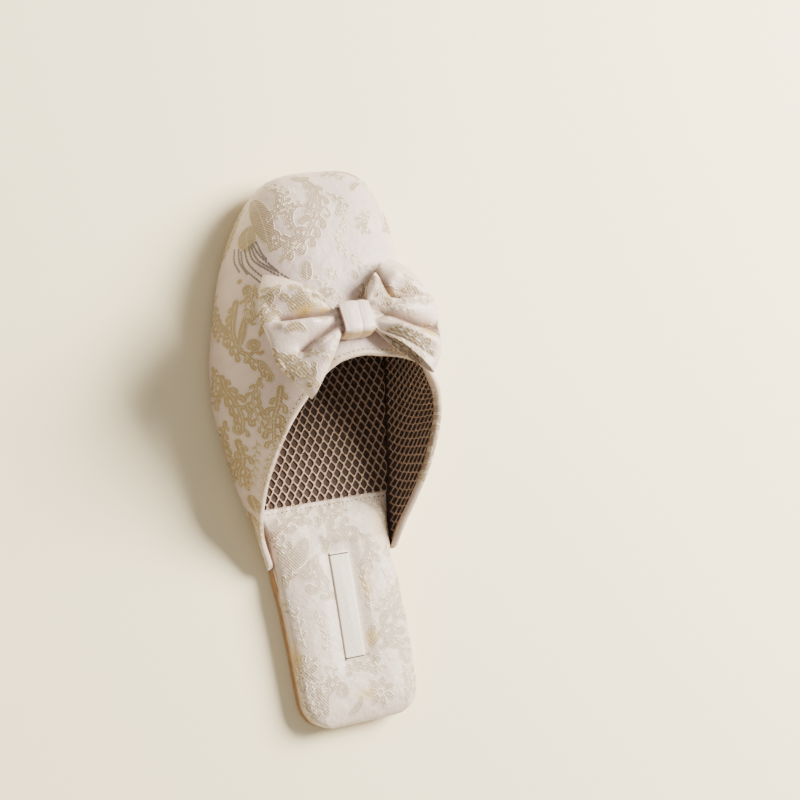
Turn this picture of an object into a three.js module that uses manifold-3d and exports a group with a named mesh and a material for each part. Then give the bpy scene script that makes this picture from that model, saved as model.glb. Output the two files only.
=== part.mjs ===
// A flat mule slipper for the left foot: a rubber outsole, a covered insole board, a mesh footbed,
// a padded heel seat with a blank sewn label, a soft padded upper with a bound collar, and a
// pinched ribbon bow on the vamp.
// Millimetres. +X points to the big-toe (medial) side, +Y to the toe, +Z up. The sole stands on Z = 0.

import * as THREE from "three";
import Module from "manifold-3d";
import { mergeVertices } from "three/addons/utils/BufferGeometryUtils.js";

const wasm = await Module();
wasm.setup();

// Driving dimensions of the last and the sole
const shoeLength = 248.7; // insole board, heel end to toe end
const heelWidth = 57; // insole board across the heel
const ballWidth = 90; // insole board across the ball of the foot
const instepHeight = 56; // throat of the collar above the top of the sole
const heelThickness = 5; // outsole under the heel
const foreThickness = 4.4; // outsole under the ball
const toeSpring = 6; // lift of the toe end off the floor
const archLift = 1.3; // lift of the waist off the floor, behind which the heel steps down
const heelLength = 68; // heel seat that stands on the floor
const outsoleTuck = 0.6; // outsole inside the board's edge under the upper, whose wall hides its side
const outsoleLip = 0.4; // how far the bottom lip of the outsole stands out from its side
const treadDepth = 1; // depth of the tread grooves
const treadWidth = 2.2; // width of a tread groove
const treadPitch = 9; // distance between tread grooves

// Driving dimensions of what stands on the sole
const clearance = 0.3; // gap between pieces that are glued or sewn together
const boardThickness = 2.6;
const boardInset = 0.2; // board inside the edge that the upper is drawn down to
const footbedThickness = 1.6;
const padThickness = 5.6; // heel seat pad at its crown
const padEdge = 2.6; // heel seat pad at its rim
const padOverhang = 0.6; // heel seat pad beyond the board around the heel
const padInset = 0.7; // heel seat pad inside the board between the sides of the upper
const padSeamEdge = 1.4; // heel seat pad where its front edge is sewn down
const padLength = 101; // heel end to the seam across the footbed
const labelLength = 49;
const labelWidth = 10;
const labelThickness = 0.5;
const labelSetback = 28; // heel end to the label's rear end
const labelDip = 1.2; // how far the sewn label pulls the pad down

// Driving dimensions of the upper and the bow
const wall = 2.2; // outer cloth, padding and mesh lining together
const sideBulge = 4; // outward swell of the upper just above the sole
const bindingWidth = 2.8; // folded edge along the collar
const bindingSwell = 0.35; // how far the folded edge stands proud of each face of the wall
const wallStart = 74; // heel end to the rear tips of the upper
const bowSetback = 14.5; // collar to the middle of the knot, along the vamp
const bowFoot = 0.475; // which line of the vamp the knot stands on, as a share of the sole edge
const bowReach = 42; // middle of the knot to the outer fold of a loop
const bowHeight = 54; // a loop's outer end, corner to corner
const bowPinch = 10.2; // width of the gathered ribbon inside the knot
const bowLoft = 9; // hollow between the two layers of a loop
const bowDroop = { lateral: 9, medial: 5.5 }; // how far a loop's outer end hangs below the knot
const ribbonThickness = 1.2;
const knotWidth = 14; // along the bow
const knotHeight = 15.4; // across the bow
const knotThickness = 1.8; // wall of the band that forms the knot
const knotHollow = 7.4; // room inside the band, from the vamp side to the top

// Half outlines of the insole board. at is a share of shoeLength; lateral and medial are shares of width.
const outlineRows = [
  { at: 0, width: heelWidth, lateral: -0.232, medial: 0.26 },
  { at: 0.006, width: heelWidth, lateral: -0.337, medial: 0.386 },
  { at: 0.02, width: heelWidth, lateral: -0.425, medial: 0.47 },
  { at: 0.05, width: heelWidth, lateral: -0.474, medial: 0.507 },
  { at: 0.16, width: heelWidth, lateral: -0.486, medial: 0.518 },
  { at: 0.22, width: heelWidth, lateral: -0.496, medial: 0.512 },
  { at: 0.28, width: heelWidth, lateral: -0.521, medial: 0.504 },
  { at: 0.34, width: heelWidth, lateral: -0.549, medial: 0.518 },
  { at: 0.4, width: heelWidth, lateral: -0.607, medial: 0.561 },
  { at: 0.47, width: ballWidth, lateral: -0.43, medial: 0.391 },
  { at: 0.545, width: ballWidth, lateral: -0.46, medial: 0.424 },
  { at: 0.6, width: ballWidth, lateral: -0.476, medial: 0.451 },
  { at: 0.655, width: ballWidth, lateral: -0.466, medial: 0.476 },
  { at: 0.73, width: ballWidth, lateral: -0.42, medial: 0.5 },
  { at: 0.8, width: ballWidth, lateral: -0.366, medial: 0.516 },
  { at: 0.87, width: ballWidth, lateral: -0.296, medial: 0.52 },
  { at: 0.92, width: ballWidth, lateral: -0.22, medial: 0.509 },
  { at: 0.965, width: ballWidth, lateral: -0.122, medial: 0.467 },
  { at: 0.99, width: ballWidth, lateral: -0.028, medial: 0.411 },
  { at: 1, width: ballWidth, lateral: 0.144, medial: 0.289 },
];

// The collar and the fullness of the upper below it, from the lateral rear tip over the throat to the
// medial rear tip. foot is the share of the sole edge that a line of the upper starts from. across is
// a share of ballWidth, along of shoeLength, up of instepHeight. swell is a share of sideBulge.
// rise and drop are shares of the local height, and reach is a share of the way back to the sole edge.
const collarRows = [
  { foot: 0, across: -0.371, along: 0.304, up: 0.095, swell: 0.1, rise: 0.4, reach: 0.1, drop: 0.3 },
  { foot: 0.04, across: -0.416, along: 0.354, up: 0.199, swell: 0.2, rise: 0.45, reach: 0, drop: 0.35 },
  { foot: 0.07, across: -0.436, along: 0.397, up: 0.345, swell: 0.3, rise: 0.45, reach: 0, drop: 0.35 },
  { foot: 0.115, across: -0.413, along: 0.455, up: 0.51, swell: 0.6, rise: 0.45, reach: 0.15, drop: 0.35 },
  { foot: 0.16, across: -0.366, along: 0.503, up: 0.654, swell: 0.9, rise: 0.45, reach: 0.3, drop: 0.3 },
  { foot: 0.21, across: -0.289, along: 0.55, up: 0.779, swell: 1, rise: 0.46, reach: 0.42, drop: 0.22 },
  { foot: 0.28, across: -0.181, along: 0.596, up: 0.886, swell: 0.95, rise: 0.48, reach: 0.5, drop: 0.15 },
  { foot: 0.345, across: -0.103, along: 0.623, up: 0.948, swell: 0.95, rise: 0.48, reach: 0.52, drop: 0.15 },
  { foot: 0.41, across: -0.026, along: 0.637, up: 0.993, swell: 0.95, rise: 0.5, reach: 0.52, drop: 0.18 },
  { foot: 0.5, across: 0.079, along: 0.642, up: 1.011, swell: 0.95, rise: 0.5, reach: 0.52, drop: 0.26 },
  { foot: 0.58, across: 0.159, along: 0.638, up: 1.011, swell: 0.95, rise: 0.5, reach: 0.52, drop: 0.24 },
  { foot: 0.64, across: 0.238, along: 0.634, up: 1.004, swell: 0.95, rise: 0.49, reach: 0.5, drop: 0.18 },
  { foot: 0.7, across: 0.329, along: 0.626, up: 0.975, swell: 0.95, rise: 0.47, reach: 0.48, drop: 0.12 },
  { foot: 0.775, across: 0.433, along: 0.611, up: 0.921, swell: 0.9, rise: 0.46, reach: 0.4, drop: 0.1 },
  { foot: 0.82, across: 0.489, along: 0.591, up: 0.868, swell: 0.9, rise: 0.45, reach: 0.25, drop: 0.15 },
  { foot: 0.86, across: 0.528, along: 0.561, up: 0.796, swell: 0.9, rise: 0.45, reach: 0.1, drop: 0.25 },
  { foot: 0.89, across: 0.538, along: 0.526, up: 0.725, swell: 0.85, rise: 0.45, reach: 0, drop: 0.35 },
  { foot: 0.915, across: 0.52, along: 0.487, up: 0.653, swell: 0.8, rise: 0.45, reach: 0, drop: 0.35 },
  { foot: 0.94, across: 0.479, along: 0.434, up: 0.544, swell: 0.6, rise: 0.45, reach: 0, drop: 0.35 },
  { foot: 0.963, across: 0.431, along: 0.386, up: 0.398, swell: 0.4, rise: 0.45, reach: 0, drop: 0.35 },
  { foot: 0.985, across: 0.367, along: 0.333, up: 0.234, swell: 0.2, rise: 0.45, reach: 0, drop: 0.35 },
  { foot: 1, across: 0.347, along: 0.302, up: 0.104, swell: 0.1, rise: 0.4, reach: 0.1, drop: 0.3 },
];

// Side of the outsole from floor to top: out is a share of outsoleLip, up of the sole's thickness.
const soleSideRows = [
  { out: -1.2, up: 0 },
  { out: 1, up: 0.1 },
  { out: 1, up: 0.3 },
  { out: 0, up: 0.4 },
  { out: 0, up: 0.92 },
  { out: -0.8, up: 1 },
];

// Folds across a loop of the bow, from its heel-side edge (-1) to its toe-side edge (1). span is where
// a fold lies at the loop's outer end, as a share of half bowHeight, flare how late it opens out from
// the knot, lift a share of bowLoft, and reach a share of bowReach.
const loopRows = {
  lateral: [
    { across: -1, span: -1.1, flare: 1, lift: -0.1, reach: 0.5 },
    { across: -0.72, span: -0.78, flare: 1, lift: 0.42, reach: 0.8 },
    { across: -0.4, span: -0.42, flare: 1, lift: -0.3, reach: 0.92 },
    { across: -0.1, span: -0.1, flare: 1, lift: 0.36, reach: 0.94 },
    { across: 0.22, span: 0.24, flare: 1, lift: -0.25, reach: 0.96 },
    { across: 0.62, span: 0.68, flare: 0.9, lift: 0.34, reach: 0.89 },
    { across: 1, span: 1.08, flare: 0.85, lift: -0.05, reach: 0.75 },
  ],
  medial: [
    { across: -1, span: -1, flare: 1, lift: -0.1, reach: 0.77 },
    { across: -0.7, span: -0.68, flare: 1, lift: 0.44, reach: 0.9 },
    { across: -0.36, span: -0.3, flare: 0.95, lift: -0.3, reach: 0.96 },
    { across: 0, span: 0.06, flare: 0.85, lift: 0.26, reach: 0.98 },
    { across: 0.34, span: 0.4, flare: 0.65, lift: -0.2, reach: 0.95 },
    { across: 0.7, span: 0.76, flare: 0.5, lift: 0.36, reach: 0.84 },
    { across: 1, span: 1.06, flare: 0.45, lift: -0.05, reach: 0.68 },
  ],
};

// How finely the curved pieces are divided
const outlineSteps = 38;
const padRungs = 26;
const padSteps = 12;
const collarSteps = 76;
const wallSteps = 11;
const bindingSteps = 3;
const loopSteps = 14;
const loopPleatSteps = 18;
const knotSteps = 16;
const knotWidthSteps = 4;

const clamp01 = (t) => Math.min(1, Math.max(0, t));
const ease = (t) => clamp01(t) ** 2 * (3 - 2 * clamp01(t));
const mix = (a, b, t) => a + (b - a) * t;

// A smooth value that passes through the rows of a table and never overshoots them.
function readTable(rows, key, value, at) {
  const x = rows.map(key);
  const y = rows.map(value);
  const last = x.length - 1;
  const slope = (i) => (y[i + 1] - y[i]) / (x[i + 1] - x[i]);
  const tangent = (i) => {
    if (i === 0) return slope(0);
    if (i === last) return slope(last - 1);
    const before = slope(i - 1);
    const after = slope(i);
    return before * after <= 0 ? 0 : (2 * before * after) / (before + after);
  };
  let i = 0;
  while (i < last - 1 && at > x[i + 1]) i++;
  const h = x[i + 1] - x[i];
  const t = clamp01((at - x[i]) / h);
  return (
    y[i] * (1 + 2 * t) * (1 - t) ** 2 +
    tangent(i) * h * t * (1 - t) ** 2 +
    y[i + 1] * t * t * (3 - 2 * t) +
    tangent(i + 1) * h * t * t * (t - 1)
  );
}

// Turn of the outline at a share of the length: equal turns crowd the stations at heel and toe.
const turnAt = (share) => Math.acos(1 - 2 * clamp01(share)) / Math.PI;
const shareAt = (turn) => (1 - Math.cos(Math.PI * turn)) / 2;
const edgeX = (side, share) =>
  readTable(outlineRows, (row) => turnAt(row.at), (row) => row[side] * row.width, turnAt(share));

// Heights along the shoe
const toeLift = (y) => toeSpring * Math.max(0, (y / shoeLength - 0.7) / 0.3) ** 2;
const archRise = (y) =>
  archLift * ease((y - heelLength) / 4) * (1 - ease((y / shoeLength - 0.44) / 0.08));
const soleBottom = (y) => toeLift(y) + archRise(y);
const soleTop = (y) =>
  toeLift(y) + mix(heelThickness, foreThickness, ease((y / shoeLength - 0.28) / 0.22));
const boardTop = (y) => soleTop(y) + clearance + boardThickness;
const footbedTop = (y) => boardTop(y) + clearance + footbedThickness;

// The board's outline, lateral side from heel to toe and medial side back, moved outwards by a
// distance that may change along the shoe.
function outline(outwards, from = 0, to = 1, steps = outlineSteps) {
  const turns = [];
  for (let i = 0; i <= steps; i++) {
    turns.push(mix(turnAt(from), turnAt(to), i / steps));
  }
  const lateral = turns.map((t) => new THREE.Vector2(edgeX("lateral", shareAt(t)), shareAt(t) * shoeLength));
  const medial = turns.map((t) => new THREE.Vector2(edgeX("medial", shareAt(t)), shareAt(t) * shoeLength));
  const loop = [...lateral, ...medial.reverse()];
  return loop.map((p, i) => {
    const before = loop[(i + loop.length - 1) % loop.length];
    const after = loop[(i + 1) % loop.length];
    const along = after.clone().sub(before).normalize();
    const distance = outwards(p.y);
    const moved = new THREE.Vector2(p.x - along.y * distance, p.y + along.x * distance);
    const rung = Math.min(i, loop.length - 1 - i);
    if (rung === 0 && from > 0) moved.y = p.y;
    if (rung === steps && to < 1) moved.y = p.y;
    return moved;
  });
}

// A closed mesh from points and triangles, with the shared points merged.
function closedMesh(points, triangles) {
  const geometry = new THREE.BufferGeometry();
  const numbers = points.flatMap((p) => [p.x, p.y, p.z]);
  geometry.setAttribute("position", new THREE.Float32BufferAttribute(numbers, 3));
  geometry.setIndex(triangles);
  const merged = mergeVertices(geometry, 1e-4);
  const index = Array.from(merged.index.array);
  const kept = [];
  for (let i = 0; i < index.length; i += 3) {
    const [a, b, c] = index.slice(i, i + 3);
    if (a !== b && b !== c && c !== a) kept.push(a, b, c);
  }
  merged.setIndex(kept);
  return merged;
}

// A solid from loops of equal length stacked upwards. Each loop runs up one side and back down the
// other, so the first and last loops are closed by rungs between their two sides.
function stackSolid(loops) {
  const count = loops[0].length;
  const points = loops.flat();
  const triangles = [];
  for (let level = 0; level < loops.length - 1; level++) {
    for (let i = 0; i < count; i++) {
      const a = level * count + i;
      const b = level * count + ((i + 1) % count);
      triangles.push(a, a + count, b, b, a + count, b + count);
    }
  }
  const top = (loops.length - 1) * count;
  for (let i = 0; i < count / 2 - 1; i++) {
    const [a, b, c, d] = [i, i + 1, count - 2 - i, count - 1 - i];
    triangles.push(a, b, d, b, c, d);
    triangles.push(top + a, top + d, top + b, top + b, top + d, top + c);
  }
  return closedMesh(points, triangles);
}

// A solid between two grids of points of the same size, front facing out.
function gridSolid(front, back) {
  const rows = front.length;
  const columns = front[0].length;
  const points = [...front.flat(), ...back.flat()];
  const at = (i, j) => i * columns + j;
  const behind = (i, j) => rows * columns + at(i, j);
  const triangles = [];
  const quad = (a, b, c, d) => triangles.push(a, b, c, a, c, d);
  for (let i = 0; i < rows - 1; i++) {
    for (let j = 0; j < columns - 1; j++) {
      quad(at(i, j), at(i + 1, j), at(i + 1, j + 1), at(i, j + 1));
      quad(behind(i, j), behind(i, j + 1), behind(i + 1, j + 1), behind(i + 1, j));
    }
    quad(at(i, 0), behind(i, 0), behind(i + 1, 0), at(i + 1, 0));
    quad(at(i, columns - 1), at(i + 1, columns - 1), behind(i + 1, columns - 1), behind(i, columns - 1));
  }
  for (let j = 0; j < columns - 1; j++) {
    quad(at(0, j), at(0, j + 1), behind(0, j + 1), behind(0, j));
    quad(at(rows - 1, j), behind(rows - 1, j), behind(rows - 1, j + 1), at(rows - 1, j + 1));
  }
  return closedMesh(points, triangles);
}

// Cuts tools out of a body.
function cut(body, tools) {
  const solid = (geometry) =>
    new wasm.Manifold(
      new wasm.Mesh({
        numProp: 3,
        vertProperties: geometry.attributes.position.array,
        triVerts: new Uint32Array(geometry.index.array),
      }),
    );
  const result = tools.reduce((left, tool) => left.subtract(solid(tool)), solid(body)).getMesh();
  const geometry = new THREE.BufferGeometry();
  geometry.setAttribute("position", new THREE.BufferAttribute(new Float32Array(result.vertProperties), 3));
  geometry.setIndex(new THREE.BufferAttribute(new Uint32Array(result.triVerts), 1));
  return geometry;
}

// Lays a flat loop on a height that changes along the shoe.
const lay = (loop, height) => loop.map((p) => new THREE.Vector3(p.x, p.y, height(p.y)));

// How far the outsole is drawn in: flush with the board around the heel, tucked in under the upper.
const tuck = (y) => outsoleTuck * ease((y - wallStart + 6) / 12);

function outsole() {
  const loops = soleSideRows.map(({ out, up }) =>
    lay(
      outline((y) => out * outsoleLip - tuck(y)),
      (y) => mix(soleBottom(y), soleTop(y), up),
    ),
  );
  return cut(stackSolid(loops), [...grooves(0.06, heelLength / shoeLength - 0.03), ...grooves(0.5, 0.8)]);
}

// Tread grooves across the floor side of the outsole, ending short of its rim.
function grooves(from, to) {
  const rim = 7;
  const cutters = [];
  for (let y = from * shoeLength; y <= to * shoeLength; y += treadPitch) {
    const share = y / shoeLength;
    const left = edgeX("lateral", share) + rim;
    const right = edgeX("medial", share) - rim;
    const depth = soleBottom(y) + treadDepth;
    const cutter = new THREE.BoxGeometry(right - left, treadWidth, 2 * depth);
    cutter.deleteAttribute("normal");
    cutter.deleteAttribute("uv");
    cutter.translate((left + right) / 2, y, 0);
    cutters.push(mergeVertices(cutter));
  }
  return cutters;
}

function insoleBoard() {
  const edge = boardThickness * 0.25;
  const base = (y) => soleTop(y) + clearance;
  return stackSolid([
    lay(outline(() => -boardInset - edge), base),
    lay(outline(() => -boardInset), (y) => base(y) + edge),
    lay(outline(() => -boardInset), (y) => base(y) + boardThickness - edge),
    lay(outline(() => -boardInset - edge), (y) => base(y) + boardThickness),
  ]);
}

// The mesh-covered footbed runs from the seam of the heel pad to the toe.
function meshFootbed() {
  const from = (padLength + clearance) / shoeLength;
  const inset = clearance + 0.4;
  const edge = footbedThickness * 0.35;
  const base = (y) => boardTop(y) + clearance;
  return stackSolid([
    lay(outline(() => -inset - edge, from), base),
    lay(outline(() => -inset, from), (y) => base(y) + edge),
    lay(outline(() => -inset, from), (y) => base(y) + footbedThickness - edge),
    lay(outline(() => -inset - edge, from), (y) => base(y) + footbedThickness),
  ]);
}

// Where the sewn label pulls the pad down: 1 on the label, fading over a few millimetres.
function labelPull(x, y) {
  const fade = 7;
  const beside = Math.max(0, Math.abs(x) - labelWidth / 2);
  const beyond = Math.max(0, labelSetback - y, y - labelSetback - labelLength);
  return 1 - ease(Math.hypot(beside, beyond) / fade);
}

// Top of the heel pad: a crowned cushion with a thin sewn front edge.
function padTop(x, y, toSide) {
  const rounding = 16;
  const toEnd = Math.min(toSide, y);
  const crown = 1 - (1 - clamp01(toEnd / rounding)) ** 2.6;
  const front = ease((padLength - y) / 12);
  const rim = mix(padSeamEdge, padEdge, front);
  const top = mix(padSeamEdge, padThickness, front);
  return boardTop(y) + clearance + mix(rim, top, crown) - labelDip * labelPull(x, y) * front;
}

function padGrid(depth) {
  const inset = (y) => mix(-padOverhang, padInset, ease((y - wallStart + 14) / 12));
  const loop = outline((y) => -inset(y), 0, padLength / shoeLength, padRungs);
  const half = loop.length / 2;
  const grid = [];
  for (let i = 0; i < half; i++) {
    const a = loop[i];
    const b = loop[loop.length - 1 - i];
    const row = [];
    for (let j = 0; j <= padSteps; j++) {
      const share = shareAt(j / padSteps);
      const x = mix(a.x, b.x, share);
      const y = mix(a.y, b.y, share);
      row.push(depth(x, y, Math.min(x - a.x, b.x - x)));
    }
    grid.push(row);
  }
  return grid;
}

function heelPad() {
  const top = padGrid((x, y, toSide) => new THREE.Vector3(x, y, padTop(x, y, toSide)));
  const bottom = padGrid((x, y) => new THREE.Vector3(x, y, boardTop(y) + clearance));
  return gridSolid(bottom, top);
}

// The blank label lies along the pad and follows its crown.
function label() {
  const lengthSteps = 12;
  const widthSteps = 2;
  const grid = (lift) => {
    const rows = [];
    for (let i = 0; i <= lengthSteps; i++) {
      const y = labelSetback + (labelLength * i) / lengthSteps;
      const row = [];
      for (let j = 0; j <= widthSteps; j++) {
        const x = labelWidth * (j / widthSteps - 0.5);
        const under = padTop(x, y, heelWidth / 2 - Math.abs(x));
        row.push(new THREE.Vector3(x, y, under + 2 * clearance + lift));
      }
      rows.push(row);
    }
    return rows;
  };
  return gridSolid(grid(0), grid(labelThickness));
}

// The sole edge that the upper stands on: points and outward directions at equal steps.
const soleEdge = (() => {
  const steps = 480;
  const startTurn = turnAt(wallStart / shoeLength);
  const points = [];
  for (let i = 0; i <= steps; i++) {
    const t = mix(startTurn, 1, i / steps);
    points.push(new THREE.Vector2(edgeX("lateral", shareAt(t)), shareAt(t) * shoeLength));
  }
  for (let i = steps; i >= 0; i--) {
    const t = mix(startTurn, 1, i / steps);
    points.push(new THREE.Vector2(edgeX("medial", shareAt(t)), shareAt(t) * shoeLength));
  }
  const lengths = [0];
  for (let i = 1; i < points.length; i++) lengths.push(lengths[i - 1] + points[i].distanceTo(points[i - 1]));
  const total = lengths[lengths.length - 1];
  const at = (distance) => {
    const d = Math.min(total, Math.max(0, distance));
    let low = 0;
    let high = lengths.length - 1;
    while (high - low > 1) {
      const middle = (low + high) >> 1;
      if (lengths[middle] <= d) low = middle;
      else high = middle;
    }
    return points[low].clone().lerp(points[high], (d - lengths[low]) / (lengths[high] - lengths[low] || 1));
  };
  return (foot) => {
    const reach = 4;
    const point = at(foot * total);
    const along = at(foot * total + reach).sub(at(foot * total - reach)).normalize();
    return { point, outward: new THREE.Vector2(-along.y, along.x) };
  };
})();

const collarValue = (column, foot) => readTable(collarRows, (row) => row.foot, (row) => row[column], foot);

// The outer face of the upper: a line that leaves the sole edge at foot and ends on the collar.
function upperLine(foot) {
  const { point, outward } = soleEdge(foot);
  const start = new THREE.Vector3(
    point.x + outward.x * (clearance + wall),
    point.y + outward.y * (clearance + wall),
    0,
  );
  start.z = soleTop(start.y) + clearance;
  const along = collarValue("along", foot) * shoeLength;
  const end = new THREE.Vector3(
    collarValue("across", foot) * ballWidth,
    along,
    soleTop(along) + collarValue("up", foot) * instepHeight,
  );
  const height = end.z - start.z;
  const swell = collarValue("swell", foot) * sideBulge;
  const low = start.clone();
  low.x += outward.x * swell;
  low.y += outward.y * swell;
  low.z += collarValue("rise", foot) * height;
  const high = end.clone();
  high.x += (start.x - end.x) * collarValue("reach", foot);
  high.y += (start.y - end.y) * collarValue("reach", foot);
  high.z -= collarValue("drop", foot) * height;
  return new THREE.CubicBezierCurve3(start, low, high, end);
}

// A point on the upper, a distance in from its outer face, with the outward direction there.
// down is the distance from the collar, as a share of the line where it is negative.
function upperFace(foot) {
  const step = 0.004;
  const line = upperLine(foot);
  const before = upperLine(Math.max(0, foot - step));
  const after = upperLine(Math.min(1, foot + step));
  const length = line.getLength();
  return {
    length,
    at(distance, depth) {
      const t = line.getUtoTmapping(clamp01(distance / length));
      const point = line.getPoint(t);
      const up = line.getTangent(t);
      const sideways = after.getPoint(t).sub(before.getPoint(t));
      const normal = up.cross(sideways).normalize();
      return { point: point.addScaledVector(normal, -depth), normal };
    },
  };
}

function upperGrid(depth) {
  const grid = [];
  for (let i = 0; i <= collarSteps; i++) {
    const face = upperFace(i / collarSteps);
    const row = [];
    for (let j = 0; j <= wallSteps; j++) {
      const distance = (face.length - bindingWidth - clearance) * (j / wallSteps);
      const { point } = face.at(distance, depth);
      if (j === 0) point.z = soleTop(point.y) + clearance;
      row.push(point);
    }
    grid.push(row);
  }
  return grid;
}

const upper = () => gridSolid(upperGrid(wall), upperGrid(0));

// The folded collar edge continues the wall, a little fuller, with a rounded rim.
function bindingGrid(side) {
  const grid = [];
  for (let i = 0; i <= collarSteps; i++) {
    const face = upperFace(i / collarSteps);
    const row = [];
    for (let j = 0; j <= bindingSteps; j++) {
      const share = j / bindingSteps;
      const distance = face.length - bindingWidth * (1 - share);
      const half = (wall / 2 + bindingSwell) * (share < 1 ? 1 : 0.45);
      row.push(face.at(distance, wall / 2 + side * half).point);
    }
    grid.push(row);
  }
  return grid;
}

const collarBinding = () => gridSolid(bindingGrid(1), bindingGrid(-1));

// The bow has its own frame on the vamp: +X along the bow, +Y towards the toe, +Z away from the vamp.
const bowFrame = (() => {
  const face = upperFace(bowFoot);
  const { point, normal } = face.at(face.length - bowSetback, -clearance);
  const along = new THREE.Vector3(1, 0, 0).addScaledVector(normal, -normal.x).normalize();
  const across = normal.clone().cross(along);
  return new THREE.Matrix4().makeBasis(along, across, normal).setPosition(point);
})();

// The middle of one loop's ribbon, in the bow's frame. out runs from the knot over the outer fold and
// back underneath (0 to 1); across runs from the heel-side edge to the toe-side edge (-1 to 1).
function loopPoint(side, out, across) {
  const rows = loopRows[side];
  const direction = side === "medial" ? 1 : -1;
  const value = (column) => readTable(rows, (row) => row.across, (row) => row[column], across);
  const layer = out < 0.5 ? 1 : -1;
  const along = 1 - Math.abs(2 * out - 1);
  const gathered = 2 / loopSteps;
  const bend = (Math.PI / 2) * clamp01((along - gathered) / (1 - gathered));
  const spread = Math.sin(bend);
  const start = knotWidth / 2 + ribbonThickness;
  const farthest = value("reach") * bowReach;
  const reach = mix(mix(0.8, start, clamp01(along / gathered)), farthest, spread);
  const offset = mix((across * bowPinch) / 2, (value("span") * bowHeight) / 2, spread ** value("flare"));
  const swell = ease(spread * 2.2);
  const layers = layer * mix(1.1, bowLoft / 2, swell) * Math.cos(bend);
  const depth = mix(0.08, 0.55, swell) * (1 - 0.55 * spread ** 3) * (layer > 0 ? 1 : 0.6);
  const pleat = value("lift") * bowLoft * depth;
  const middle = knotThickness + knotHollow / 2;
  const droop = bowDroop[side] * spread ** 2 * (0.35 + 0.65 * across * across);
  return new THREE.Vector3(direction * reach, offset, middle + layers + pleat - droop);
}

function loopGrid(side, depth) {
  const tiny = 1e-3;
  const grid = [];
  for (let i = 0; i <= loopSteps; i++) {
    const out = i / loopSteps;
    const row = [];
    for (let j = 0; j <= loopPleatSteps; j++) {
      const across = -1 + (2 * j) / loopPleatSteps;
      const point = loopPoint(side, out, across);
      const before = loopPoint(side, Math.max(0, out - tiny), across);
      const forward = loopPoint(side, Math.min(1, out + tiny), across).sub(before);
      const heelwards = loopPoint(side, out, Math.max(-1, across - tiny));
      const sideways = loopPoint(side, out, Math.min(1, across + tiny)).sub(heelwards);
      const normal = forward.cross(sideways).normalize();
      row.push(point.addScaledVector(normal, depth));
    }
    grid.push(row);
  }
  return grid;
}

function bowLoop(side) {
  return gridSolid(loopGrid(side, ribbonThickness / 2), loopGrid(side, -ribbonThickness / 2));
}

// The knot is a flat band wrapped round the gathered ribbon, fuller in its middle.
function bowKnot() {
  const grid = (inner) => {
    const rows = [];
    for (let i = 0; i <= knotSteps; i++) {
      const turn = (2 * Math.PI * i) / knotSteps;
      const row = [];
      for (let j = 0; j <= knotWidthSteps; j++) {
        const share = (2 * j) / knotWidthSteps - 1;
        const full = inner ? 0 : knotThickness * (1 - 0.35 * share * share);
        const halfY = (knotHeight - 2 * knotThickness) / 2 + full;
        const halfZ = knotHollow / 2 + full;
        const squareness = 0.4;
        const y = Math.sign(Math.cos(turn)) * Math.abs(Math.cos(turn)) ** squareness * halfY;
        const z = Math.sign(Math.sin(turn)) * Math.abs(Math.sin(turn)) ** squareness * halfZ;
        row.push(new THREE.Vector3((share * knotWidth) / 2, y, knotThickness + knotHollow / 2 + z));
      }
      rows.push(row);
    }
    return rows;
  };
  return gridSolid(grid(false), grid(true));
}

const cloth = { color: 0xe6dcd6, roughness: 0.55, metalness: 0 };
const materials = {
  rubber: new THREE.MeshStandardMaterial({ color: 0x9a6a3c, roughness: 0.6, metalness: 0 }),
  board_cover: new THREE.MeshStandardMaterial({ color: 0xd9bd97, roughness: 0.7, metalness: 0 }),
  lining_mesh: new THREE.MeshStandardMaterial({ color: 0x8f7563, roughness: 0.8, metalness: 0 }),
  brocade: new THREE.MeshStandardMaterial(cloth),
  binding: new THREE.MeshStandardMaterial({ color: 0xe9d8c4, roughness: 0.6, metalness: 0 }),
  label: new THREE.MeshStandardMaterial({ color: 0xe4dbd2, roughness: 0.7, metalness: 0 }),
};

const shoe = new THREE.Group();
const bow = new THREE.Group();
bow.applyMatrix4(bowFrame);

function add(parent, name, geometry, material) {
  const mesh = new THREE.Mesh(geometry, material);
  mesh.name = name;
  parent.add(mesh);
}

add(shoe, "outsole", outsole(), materials.rubber);
add(shoe, "insole_board", insoleBoard(), materials.board_cover);
add(shoe, "mesh_footbed", meshFootbed(), materials.lining_mesh);
add(shoe, "heel_pad", heelPad(), materials.brocade);
add(shoe, "label_tab", label(), materials.label);
add(shoe, "upper", upper(), materials.brocade);
add(shoe, "collar_binding", collarBinding(), materials.binding);
add(bow, "bow_loop_lateral", bowLoop("lateral"), materials.brocade);
add(bow, "bow_loop_medial", bowLoop("medial"), materials.brocade);
add(bow, "bow_knot", bowKnot(), materials.brocade);
shoe.add(bow);

// The origin is the middle of the shoe's footprint, on the floor.
shoe.updateMatrixWorld(true);
const extent = new THREE.Box3().setFromObject(shoe, true);
shoe.position.set(-(extent.min.x + extent.max.x) / 2, -(extent.min.y + extent.max.y) / 2, 0);

export default shoe;
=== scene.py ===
# %% [markdown]
# A flat mule slipper in pale brocade with a ribbon bow, for the left foot.
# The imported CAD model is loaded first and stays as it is. Each piece of cloth, net or rubber is then
# made again at a finer scale, in the place of its solid, from the same sizes and formulas.
# Shapes are worked out in millimetres from the heel end: +X medial, +Y to the toe, +Z up.

import bpy
import numpy as np
from mathutils import Matrix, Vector
from mathutils.bvhtree import BVHTree


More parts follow.
